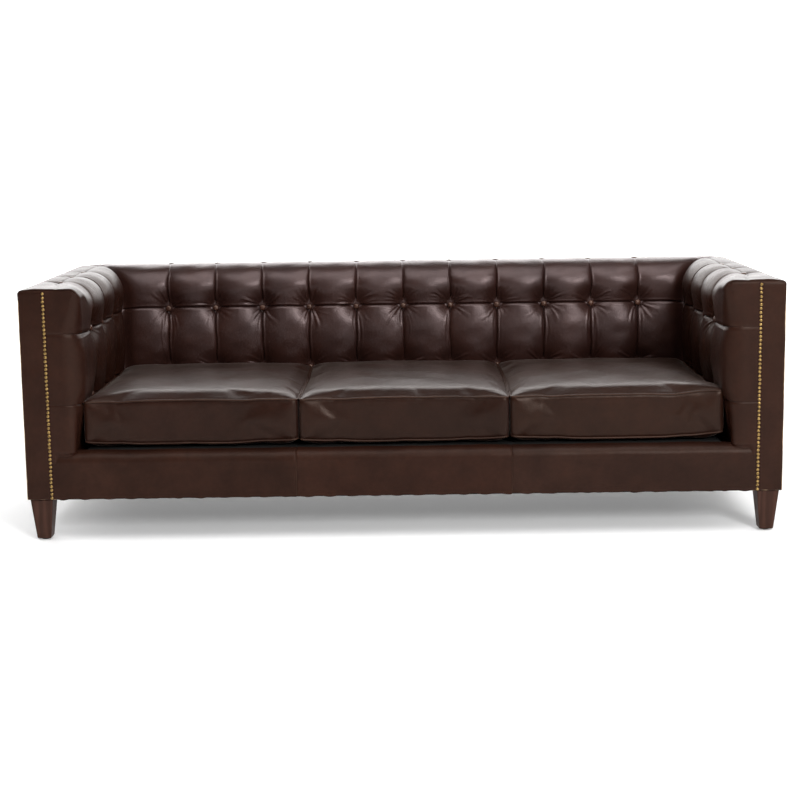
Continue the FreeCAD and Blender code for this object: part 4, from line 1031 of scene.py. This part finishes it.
# ---------------------------------------------------------------- nails
def build_nails():
    r, h = 0.0047, 0.0029
    prof = [(r * 0.93, -0.0012), (r, -0.0004), (r, 0.0002)]
    for t in np.linspace(0.12, 1.0, 7):
        a = t * math.pi / 2
        prof.append((max(r * math.cos(a), 0.0003), h * math.sin(a) * 0.92))
    for sx, side in ((-1, "left"), (1, "right")):
        rng = np.random.default_rng(300 + sx)
        pl, ax, sc = [], [], []
        for i in range(53):
            z = 0.133 + 0.0117 * i + rng.uniform(-0.0006, 0.0006)
            pl.append((sx * (NAILX + rng.uniform(-0.0006, 0.0006)), FRONT + 0.0002, z))
            ax.append((rng.uniform(-0.12, 0.12), -1.0, rng.uniform(-0.12, 0.12)))
            sc.append(rng.uniform(0.93, 0.99))
        v, f = lathe_parts(prof, 20, pl, ax, sc, rng.uniform(0, 6.28, 53))
        v[:, 1] = np.maximum(v[:, 1], -0.4400)
        o = make_mesh(f"arm_nail_heads_{side}", v, f)
        finish_piece(o, BRASS, nodes=(f"arm_nails_{side}",))


# ---------------------------------------------------------------- legs and glides
def build_legs():
    for side, sx in (("left", -1), ("right", 1)):
        for end, y0 in (("front", -0.3955), ("rear", 0.3985)):
            node = f"leg_{end}_{side}"
            lo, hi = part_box(node)
            x0 = (lo.x + hi.x) / 2
            hs = np.concatenate([[0.0], np.linspace(0.002, 0.115, 14), [0.119, 0.122]])
            z_lo, z_hi = 0.0050, 0.1268
            zs = z_lo + np.concatenate([[0, 0.0012, 0.003], np.linspace(0.008, z_hi - z_lo - 0.004, 12), [z_hi - z_lo]])
            rings = []
            for z in zs:
                t = (z - z_lo) / (z_hi - z_lo)
                half = 0.0205 + (0.033 - 0.0205) * t ** 0.97
                cut = 0.0024 if z - z_lo > 0.002 else 0.0030
                half -= 0.0012 * max(0, 1 - (z - z_lo) / 0.0025)
                pts = []
                for cx, cy, a0 in ((1, -1, -90), (1, 1, 0), (-1, 1, 90), (-1, -1, 180)):
                    for k in range(5):
                        a = math.radians(a0 + 22.5 * k)
                        pts.append((x0 + cx * (half - cut) + cut * math.cos(a), y0 + cy * (half - cut) + cut * math.sin(a), z))
                rings.append(pts)
            n = len(rings[0])
            V = np.array(rings).reshape(-1, 3)
            F = [tuple(q) for q in grid_quads(len(rings), n, wrap_c=True)]
            F += [tuple(range(n - 1, -1, -1)), tuple(range(len(V) - n, len(V)))]
            o = make_mesh(f"tapered_leg_{end}_{side}", V, F)
            m = o.modifiers.new("wn", "WEIGHTED_NORMAL")
            m.keep_sharp = False
            finish_piece(o, LEG, nodes=(node,))
    prof = [(0.0100, 0.0), (0.0116, 0.0006), (0.0120, 0.0016), (0.0120, 0.0040), (0.0110, 0.0050), (0.0004, 0.0050)]
    pl = [(sx * 1.0785, y, 0.0) for sx in (-1, 1) for y in (-0.3955, 0.3985)]
    v, f = lathe_parts(prof, 40, pl, [(0, 0, 1)] * 4)
    o = make_mesh("glide_pads", v, f)
    finish_piece(o, PLASTIC, nodes=("leg_glides",))


# ---------------------------------------------------------------- deck and dust cover
def build_cloths():
    us, vs = np.linspace(-0.949, 0.949, 150), np.linspace(-0.384, 0.256, 60)
    U, V = np.meshgrid(us, vs)
    nz = waves(201, 8, 0.12, 0.5)
    edge = np.minimum(np.minimum(U + 0.949, 0.949 - U), np.minimum(V + 0.384, 0.256 - V))
    z = 0.2672 + 0.0007 * nz(U, V) * smooth01(edge, 0, 0.05) - roll_in(edge, 0.006, 0.003)
    z = z - 0.0012 * (np.exp(-((U + 0.3137) / 0.004) ** 2) + np.exp(-((U - 0.3137) / 0.004) ** 2))
    o = make_mesh("deck_cloth", np.stack([U, V, np.minimum(z, 0.268)], -1).reshape(-1, 3), grid_quads(60, 150))
    finish_piece(o, BLACKCLOTH, nodes=("deck_cover", "deck_pad"))
    us, vs = np.linspace(-1.110, 1.110, 180), np.linspace(-0.432, 0.432, 80)
    U, V = np.meshgrid(us, vs)
    edge = np.minimum(np.minimum(U + 1.110, 1.110 - U), np.minimum(V + 0.432, 0.432 - V))
    nz = waves(215, 8, 0.10, 0.4)
    z = 0.1262 - 0.0034 * smooth01(edge, 0.02, 0.22) + 0.0008 * nz(U, V) * smooth01(edge, 0.02, 0.1) + 0.0008 * smooth01(0.012 - edge, 0, 0.012)
    for sx in (-1, 1):
        for y in (-0.3955, 0.3985):
            near = np.maximum(np.abs(U - sx * 1.0785), np.abs(V - y))
            z = np.where(near < 0.045, np.maximum(z, 0.1266), z)
    o = make_mesh("dust_cover_cloth", np.stack([U, V, z], -1).reshape(-1, 3), grid_quads(80, 180, flip=True))
    finish_piece(o, BLACKCLOTH, nodes=("dust_cover",))
    staples = []
    rng = np.random.default_rng(5)
    spots = [(x, y, 0) for x in np.arange(-1.02, 1.03, 0.06) for y in (-0.421, 0.421)] + [(x, y, 1) for y in np.arange(-0.33, 0.34, 0.06) for x in (-1.099, 1.099)]
    for x, y, k in spots:
        a = rng.uniform(-0.15, 0.15) + (math.pi / 2 if k else 0)
        c, s = math.cos(a), math.sin(a)
        path = [(-0.0055, 0.0009), (-0.0053, -0.0002), (-0.0045, -0.0005), (0.0045, -0.0005), (0.0053, -0.0002), (0.0055, 0.0009)]
        pts = np.array([(x + c * u, y + s * u, 0.1264 + w) for u, w in path])
        n = len(pts)
        w2 = 0.0005
        nrm = np.array([-s, c, 0]) * w2
        up = np.array([0, 0, w2])
        vv = np.concatenate([[p - nrm - up, p + nrm - up, p + nrm + up, p - nrm + up] for p in pts])
        ff = [tuple(q) for q in grid_quads(n, 4, wrap_c=True, flip=True)] + [(0, 1, 2, 3), (n * 4 - 1, n * 4 - 2, n * 4 - 3, n * 4 - 4)]
        staples.append((vv, ff))
    v, f = join_parts(staples)
    st = make_mesh("dust_cover_staples", v, f, smooth=False)
    finish_piece(st, ZINC)


# ---------------------------------------------------------------- cushions
CUSH = {"left": (-0.9468, -0.3136), "center": (-0.3126, 0.3152), "right": (0.3162, 0.9468)}
CY0, CY1 = -0.3950, 0.2425
Z_BOT, Z_TOP = 0.292, 0.411
DECK = 0.2690


def cushion_points(name):
    """The cushion before it is filled: a closed grid of top, boxing and bottom. Returns points, quads and the two seam loops."""
    x0, x1 = CUSH[name]
    n = 62
    # corner-rounded outline
    nx, ny, nb = n, n, 12
    rc = 0.014

    def outline(i, j):
        u, v = i / nx, j / ny
        return u, v
    # map a square to a rounded rectangle, keeping the grid
    u = np.linspace(-1, 1, nx + 1)
    v = np.linspace(-1, 1, ny + 1)
    U, V = np.meshgrid(u, v)
    hx, hy = (x1 - x0) / 2, (CY1 - CY0) / 2
    X, Y = U * hx, V * hy
    # pull the corners in
    dx, dy = np.maximum(0, np.abs(X) - (hx - rc)), np.maximum(0, np.abs(Y) - (hy - rc))
    m = np.maximum(dx, dy)
    r = np.hypot(dx, dy)
    k = np.where(r > 1e-9, m / np.maximum(r, 1e-9), 1)
    X = np.sign(X) * (np.minimum(np.abs(X), hx - rc) + dx * k)
    Y = np.sign(Y) * (np.minimum(np.abs(Y), hy - rc) + dy * k)
    X += (x0 + x1) / 2
    Y += (CY0 + CY1) / 2
    edge = np.minimum(1 - np.abs(U), 1 - np.abs(V))
    crown = (1 - np.abs(U) ** 2.6) * (1 - np.abs(V) ** 2.6)
    top = np.stack([X, Y, Z_TOP + 0.022 * crown], -1)
    bot = np.stack([X, Y, Z_BOT - 0.018 * crown], -1)
    # loop of the border, anticlockwise seen from above
    idx = np.arange((nx + 1) * (ny + 1)).reshape(ny + 1, nx + 1)
    loop = np.concatenate([idx[0, :-1], idx[:-1, -1], idx[-1, :0:-1], idx[:0:-1, 0]])
    nt = (nx + 1) * (ny + 1)
    verts = [top.reshape(-1, 3), bot.reshape(-1, 3)]
    faces = [grid_quads(ny + 1, nx + 1), grid_quads(ny + 1, nx + 1, flip=True, base=nt)]
    P = np.concatenate(verts)
    tl, bl = loop, loop + nt
    rings = [bl]
    base = len(P)
    extra = []
    for q in range(1, nb):
        t = q / nb
        extra.append(P[bl] * (1 - t) + P[tl] * t)
        rings.append(base + (q - 1) * len(loop) + np.arange(len(loop)))
    rings.append(tl)
    P = np.concatenate([P] + extra)
    side = []
    L = len(loop)
    for a, b in zip(rings, rings[1:]):
        an, bn = np.roll(a, -1), np.roll(b, -1)
        side.append(np.stack([a, an, bn, b], -1))
    F = np.concatenate(faces + side)
    return P, F, tl, bl, (nx, ny, nb)


def inflate(P, F, tl, bl, name, frames=20, pressure=4.0):
    """Fills the cover: Blender's cloth, with pressure and no gravity."""
    o = make_mesh("sim_" + name, P, F)
    vg = o.vertex_groups.new(name="hold")
    w = np.zeros(len(P))
    w[tl] = 0.0
    m = o.modifiers.new("Cloth", "CLOTH")
    st = m.settings
    st.quality = 6
    st.mass = 0.35
    st.tension_stiffness = 22
    st.compression_stiffness = 22
    st.shear_stiffness = 12
    st.bending_stiffness = 1.2
    st.tension_damping = 8
    st.compression_damping = 8
    st.shear_damping = 8
    st.air_damping = 2.0
    st.use_pressure = True
    st.uniform_pressure_force = pressure
    st.effector_weights.gravity = 0
    m.collision_settings.use_collision = False
    m.collision_settings.use_self_collision = False
    m.point_cache.frame_start = 1
    m.point_cache.frame_end = frames + 2
    for f in range(1, frames + 1):
        scene.frame_set(f)
    dg = bpy.context.evaluated_depsgraph_get()
    e = o.evaluated_get(dg)
    Q = np.zeros(len(P) * 3, np.float32)
    e.data.vertices.foreach_get("co", Q)
    Q = Q.reshape(-1, 3).astype(float)
    scene.frame_set(1)
    bpy.data.objects.remove(o)
    D = Q - P
    ln = np.linalg.norm(D, axis=1)
    cap = 0.026
    D *= np.minimum(1, cap / np.maximum(ln, 1e-9))[:, None]
    return P + D


def relax(P, F, k, rounds):
    """Averages points with their neighbours."""
    n = len(P)
    e = np.concatenate([F[:, [0, 1]], F[:, [1, 2]], F[:, [2, 3]], F[:, [3, 0]]])
    e = np.unique(np.sort(e, 1), axis=0)
    deg = np.bincount(e.ravel(), minlength=n)[:, None]
    for _ in range(rounds):
        s = np.zeros_like(P)
        np.add.at(s, e[:, 0], P[e[:, 1]])
        np.add.at(s, e[:, 1], P[e[:, 0]])
        P = P * (1 - k) + k * s / deg
    return P


def build_cushion(name, i):
    body = f"cushion_{name}"
    P0, F, tl, bl, (nx, ny, nb) = cushion_points(name)
    x0, x1 = CUSH[name]
    xc, yc = (x0 + x1) / 2, (CY0 + CY1) / 2
    hx, hy = (x1 - x0) / 2, (CY1 - CY0) / 2
    P = P0.copy()
    # it swells, so it starts smaller
    P[:, 0] = xc + (P[:, 0] - xc) * 0.975
    P[:, 1] = yc + (P[:, 1] - yc) * 0.975
    Q = inflate(P, F, tl, bl, name)
    # fit the filled cushion to its place
    lo, hi = Q.min(0), Q.max(0)
    Q[:, 0] = x0 + (Q[:, 0] - lo[0]) * (x1 - x0) / (hi[0] - lo[0])
    Q[:, 1] = CY0 + (Q[:, 1] - lo[1]) * (CY1 - CY0) / (hi[1] - lo[1])
    nt = (nx + 1) * (ny + 1)
    U = (Q[:, 0] - xc) / hx
    V = (Q[:, 1] - yc) / hy
    # neighbours press on each other, so the sides stay nearly straight
    side_l, side_r = tl[P0[tl, 0] < x0 + 0.004], tl[P0[tl, 0] > x1 - 0.004]
    side_l, side_r = side_l[np.argsort(Q[side_l, 1])], side_r[np.argsort(Q[side_r, 1])]
    ys = Q[:, 1]
    XL, XR = np.interp(ys, Q[side_l, 1], Q[side_l, 0]), np.interp(ys, Q[side_r, 1], Q[side_r, 0])
    vv = np.clip((ys - yc) / hy, -1, 1)
    push = 0.0050 * (1 - vv ** 2) * np.sin((vv + 1) * math.pi / 2)
    ahead = 1 - smooth01(vv, -1.0, -0.45)
    TL = x0 + 0.0010 + (push if i else 0.0030 - 0.0110 * ahead)
    TR = x1 - 0.0010 + (push if i < 2 else -0.0030 + 0.0105 * ahead)
    k_ = (Q[:, 0] - XL) / (XR - XL)
    over = np.where(k_ < 0, (Q[:, 0] - XL) * 0.2, np.where(k_ > 1, (Q[:, 0] - XR) * 0.2, 0))
    Q[:, 0] = TL + np.clip(k_, 0, 1) * (TR - TL) + over
    calm = relax(Q, F, 0.5, 14)
    far = np.minimum(hx - np.abs(P0[:, 0] - xc), hy - np.abs(P0[:, 1] - yc))
    wz = smooth01(far, 0.004, 0.034) * (np.arange(len(Q)) < (nx + 1) * (ny + 1)) * 0.9
    Q[:, 2] = Q[:, 2] * (1 - wz) + calm[:, 2] * wz
    # heights: bring the seams to where the photo has them, and the crown to its height
    seam_t, seam_b = Q[tl, 2].mean(), Q[bl, 2].mean()
    zmax = Q[:nt, 2].max()
    ztop = Z_TOP + (Q[:, 2] - seam_t) * (0.4445 - Z_TOP) / max(zmax - seam_t, 1e-4)
    zmid = Z_BOT + (Q[:, 2] - seam_b) * (Z_TOP - Z_BOT) / (seam_t - seam_b)
    zmin = Q[nt:2 * nt, 2].min()
    zbot = Z_BOT + (Q[:, 2] - seam_b) * (Z_BOT - 0.262) / max(seam_b - zmin, 1e-4)
    Q[:, 2] = np.where(Q[:, 2] > seam_t, ztop, np.where(Q[:, 2] < seam_b, zbot, zmid))
    # sat-on unevenness
    n1, n2 = waves(500 + i, 9, 0.10, 0.30), waves(520 + i, 10, 0.035, 0.09)
    cr = np.clip(1 - np.abs(U), 0, 1) ** 0.5 * np.clip(1 - np.abs(V), 0, 1) ** 0.5
    istop = np.zeros(len(Q))
    istop[:nt] = 1
    Q[:, 2] += istop * cr * (0.0030 * n1(Q[:, 0], Q[:, 1]) + 0.0005 * n2(Q[:, 0], Q[:, 1]))
    # the seams wander a little, and the lower one hangs in the middle
    bow = (1 - np.clip(np.abs(U), 0, 1) ** 4)
    low = 1 - smooth01(Q[:, 2], Z_BOT, Z_TOP)
    frontal = smooth01(-V, 0.5, 0.95)
    Q[:, 2] -= 0.0105 * bow * low * frontal * (1 - 0 * istop)
    Q[:, 2] += smooth01(Q[:, 2], Z_BOT, Z_TOP) * frontal * 0.0035 * (np.abs(U) ** 3 - 0.4) * -0.6
    if name == "right":
        Q[:, 2] += 0.012 * smooth01(U, 0.35, 1.0) * smooth01(Q[:, 2], Z_BOT - 0.02, Z_TOP) * frontal
        Q[:, 2] += 0.006 * smooth01(U, 0.55, 1.0) * (1 - smooth01(Q[:, 2], Z_BOT, Z_TOP)) * frontal
    # it is flat only where it rests on the deck
    fl = DECK + 0.0004
    z = Q[:, 2]
    Q[:, 2] = np.where(z < fl + 0.006, fl + 0.006 * np.exp(np.minimum(0, (z - fl - 0.006) / 0.006)) - 0.0 * z, z)
    Q[:, 2] = np.maximum(Q[:, 2], fl)
    # leather is pulled in at both seams
    o = make_mesh(f"seat_cushion_{name}", Q, F)
    sub = o.modifiers.new("sub", "SUBSURF")
    sub.levels = sub.render_levels = 1
    dg = bpy.context.evaluated_depsgraph_get()
    m2 = bpy.data.meshes.new_from_object(o.evaluated_get(dg))
    o.modifiers.clear()
    o.data = m2
    R = np.zeros(len(m2.vertices) * 3, np.float32)
    m2.vertices.foreach_get("co", R)
    R = R.reshape(-1, 3).astype(float)
    top_loop, bot_loop = R[tl].copy(), R[bl].copy()
    # groove and puckers beside the welts
    for loop, seed in ((top_loop, 600 + i), (bot_loop, 640 + i)):
        from mathutils.kdtree import KDTree
        tree = KDTree(len(loop))
        for k, p in enumerate(loop):
            tree.insert(p, k)
        tree.balance()
        sel = np.where(np.abs(R[:, 2] - np.interp(0, [0], [loop[:, 2].mean()])) < 0.06)[0]
        ctr = np.array([xc, yc, 0.352])
        rng = np.random.default_rng(seed)
        puck = rng.uniform(-1, 1, len(loop))
        puck = (puck + np.roll(puck, 1)) / 2
        for k in sel:
            _, j, d = tree.find(R[k])
            if d < 0.030:
                out = R[k] - ctr
                out /= np.linalg.norm(out)
                R[k] -= out * (0.0022 * math.exp(-(d / 0.006) ** 2) - 0.0007 * puck[j] * math.exp(-((d - 0.010) / 0.009) ** 2))
    R[:, 2] = np.maximum(R[:, 2], DECK)
    m2.vertices.foreach_set("co", R.astype(np.float32).ravel())
    m2.polygons.foreach_set("use_smooth", np.full(len(m2.polygons), True))
    m2.update()
    finish_piece(o, L_CUSH[i], body, (f"seat_cushion_cover_{name}", f"seat_cushion_core_{name}"))
    for word, loop, dz in (("top", top_loop, 0.0006), ("bottom", bot_loop, -0.0006)):
        p = loop
        for _ in range(3):
            p = (np.roll(p, 1, 0) + 2 * p + np.roll(p, -1, 0)) / 4
        out = p - [xc, yc, 0]
        out[:, 2] = 0
        out /= np.linalg.norm(out, axis=1)[:, None]
        # twice as many points, rounded
        p = p + out * 0.0006 + [0, 0, dz]
        mid = (9 * (p + np.roll(p, -1, 0)) - np.roll(p, 1, 0) - np.roll(p, -2, 0)) / 16
        pp = np.empty((2 * len(p), 3))
        pp[0::2], pp[1::2] = p, mid
        w = tube(f"cushion_welt_{word}_{name}", pp, 0.0029, 10)
        finish_piece(w, L_WELT, body)
    return o, R


def build_zip(name, cushion_rear):
    """The zip in the rear boxing: a tape with two rows of teeth."""
    body = f"cushion_{name}"
    lo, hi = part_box(f"cushion_zip_{name}")
    x0, x1, z0, z1 = lo.x, hi.x, lo.z, hi.z
    ym, yo = lo.y, hi.y
    zc = (z0 + z1) / 2
    us = np.linspace(x0, x1, 90)
    parts = []
    for s in (-1, 1):
        vs = np.linspace(zc + s * 0.0011, zc + s * (z1 - z0) / 2, 7)
        U, V = np.meshgrid(us, vs)
        k = np.abs(V - zc) / ((z1 - z0) / 2)
        Y = ym + 0.0008 - 0.0040 * k ** 2 + 0.0002 * np.sin(U * 300)
        v1 = np.stack([U, Y, V], -1).reshape(-1, 3)
        v2 = np.stack([U, Y - 0.0009, V], -1).reshape(-1, 3)
        q1 = grid_quads(7, 90, flip=s > 0)
        q2 = grid_quads(7, 90, flip=s < 0, base=len(v1))
        parts.append((np.concatenate([v1, v2]), [tuple(f) for f in np.concatenate([q1, q2])]))
    v, f = join_parts(parts)
    tape = make_mesh(f"zip_tape_{name}", v, f)
    finish_piece(tape, ZIPTAPE, body, (f"cushion_zip_{name}",))
    teeth = []
    n = int((x1 - x0 - 0.012) / 0.0026)
    for k in range(n):
        x = x0 + 0.006 + k * 0.0026
        s = 1 if k % 2 else -1
        w, d, hgt = 0.0008, 0.0010, 0.0024
        z_in, z_out = zc - s * 0.0007, zc + s * hgt
        ya, yb = ym + 0.0004, min(yo, ym + 0.0021)
        vv = [(x - w, ya, z_out), (x + w, ya, z_out), (x + w, yb - 0.0004, z_out), (x - w, yb - 0.0004, z_out),
              (x - w * 1.3, ya, z_in), (x + w * 1.3, ya, z_in), (x + w * 1.1, yb, z_in), (x - w * 1.1, yb, z_in)]
        ff = [(0, 1, 2, 3), (7, 6, 5, 4), (0, 4, 5, 1), (1, 5, 6, 2), (2, 6, 7, 3), (3, 7, 4, 0)]
        if s < 0:
            ff = [q[::-1] for q in ff]
        teeth.append((vv, ff))
    v, f = join_parts(teeth)
    t = make_mesh(f"zip_teeth_{name}", v, f, smooth=False)
    finish_piece(t, BRASS2, body)


# ---------------------------------------------------------------- build it all
P_back, a_back = build_back()
arm_l = build_arm(-1, 31, (0.0100, 0.0075))
arm_r = build_arm(1, 47, (-0.0080, 0.0049))
build_buttons(P_back, a_back, {-1: arm_l, 1: arm_r})
build_front_strips()
build_outside()
build_rail()
build_nails()
build_legs()
build_cloths()
for i, nm in enumerate(("left", "center", "right")):
    build_cushion(nm, i)
    build_zip(nm, None)

# CAD nodes that stay get their own finish
node_slot = {}
for m in frame["record"].get("materials", []):
    for n in m.get("nodes", []) or []:
        node_slot[n] = m["slot"]
UPRIGHT = ("arm_front_post_left", "arm_front_post_right", "back_ribs", "arm_ribs")
SIDEWAYS = ("side_rail_left", "side_rail_right", "arm_top_rails", "arm_tack_rails", "seat_stretchers")
for n, o in frame["nodes"].items():
    s = node_slot.get(n, "frame_hardwood")
    mat = BY_SLOT.get(s, FRAMEW)
    if s == "frame_hardwood":
        mat = FRAMEWZ if n in UPRIGHT else FRAMEWY if n in SIDEWAYS else FRAMEW
    for k in range(max(1, len(o.material_slots))):
        if len(o.material_slots) == 0:
            o.data.materials.append(mat)
        else:
            o.material_slots[k].material = mat

# ---------------------------------------------------------------- stage, light, camera
floor = make_mesh("floor", [(-14, -9, 0), (14, -9, 0), (14, 14, 0), (-14, 14, 0)], np.array([[0, 1, 2, 3]]))
F = Mat("floor_paper")
F.put("Base Color", F.ramp(F.noise(2.0, 3), [(0.3, (0.90, 0.90, 0.90)), (0.7, (0.92, 0.92, 0.92))]))
F.put("Roughness", 0.9)
F.put("Specular IOR Level", 0.1)
F.put("Emission Color", (1.0, 1.0, 1.0))
F.put("Emission Strength", 0.18)
set_mat(floor, F.m)

world = bpy.data.worlds.new("studio")
scene.world = world
world.use_nodes = True
wt = world.node_tree
wt.nodes.clear()
wo = wt.nodes.new("ShaderNodeOutputWorld")
bg = wt.nodes.new("ShaderNodeBackground")
bg.inputs[0].default_value = (1.0, 1.0, 1.0, 1)
bg.inputs[1].default_value = 0.03
wt.links.new(bg.outputs[0], wo.inputs[0])


def area(name, loc, aim, size, power, col=(1, 1, 1)):
    d = bpy.data.lights.new(name, "AREA")
    d.shape = "RECTANGLE"
    d.size, d.size_y = size
    d.energy = power
    d.color = col
    o = bpy.data.objects.new(name, d)
    scene.collection.objects.link(o)
    o.location = loc
    o.rotation_euler = (Vector(aim) - Vector(loc)).to_track_quat("-Z", "Y").to_euler()
    return o


area("key_right", (2.7, -5.7, 3.2), (0.2, 0.0, 0.5), (1.7, 1.5), 255)
area("fill_left", (-1.4, -5.4, 2.2), (0.0, 0.0, 0.45), (1.4, 1.2), 9)
area("top", (0.2, -1.5, 4.2), (0.0, 0.0, 0.3), (5.4, 2.6), 150)
area("top_front", (0.0, -3.4, 3.8), (0.0, 0.0, 0.45), (4.0, 1.4), 24)
for part, z0, z1, glow in (("low", 0.0, 1.8, 2.8), ("mid", 1.8, 4.0, 3.0), ("high", 4.0, 9.0, 4.2)):
    wall = make_mesh(f"backdrop_{part}", [(-14, 7, z0), (14, 7, z0), (14, 7, z1), (-14, 7, z1)], np.array([[0, 1, 2, 3]]))
    W = Mat(f"backdrop_paper_{part}")
    W.put("Base Color", W.ramp(W.noise(1.5, 3), [(0.3, (0.92, 0.92, 0.92)), (0.7, (0.94, 0.94, 0.94))]))
    W.put("Roughness", 0.9)
    W.put("Emission Color", (1.0, 1.0, 1.0))
    W.put("Emission Strength", glow)
    set_mat(wall, W.m)

cam_d = bpy.data.cameras.new("camera")
cam = bpy.data.objects.new("camera", cam_d)
scene.collection.objects.link(cam)
scene.camera = cam
cam_d.sensor_width = 36
cam_d.lens = 1455.1 / 800 * 36
cam_d.shift_x = -(410 - 400) / 800
cam_d.shift_y = (335 - 400) / 800
cam_d.clip_end = 60
cam.matrix_world = Matrix.Translation((0.0218, -4.641, 1.191)) @ Matrix.Rotation(math.pi / 2 - 0.1381, 4, "X") @ Matrix.Rotation(-0.0134, 4, "Z")

scene.view_settings.view_transform = "Standard"
scene.view_settings.look = "None"
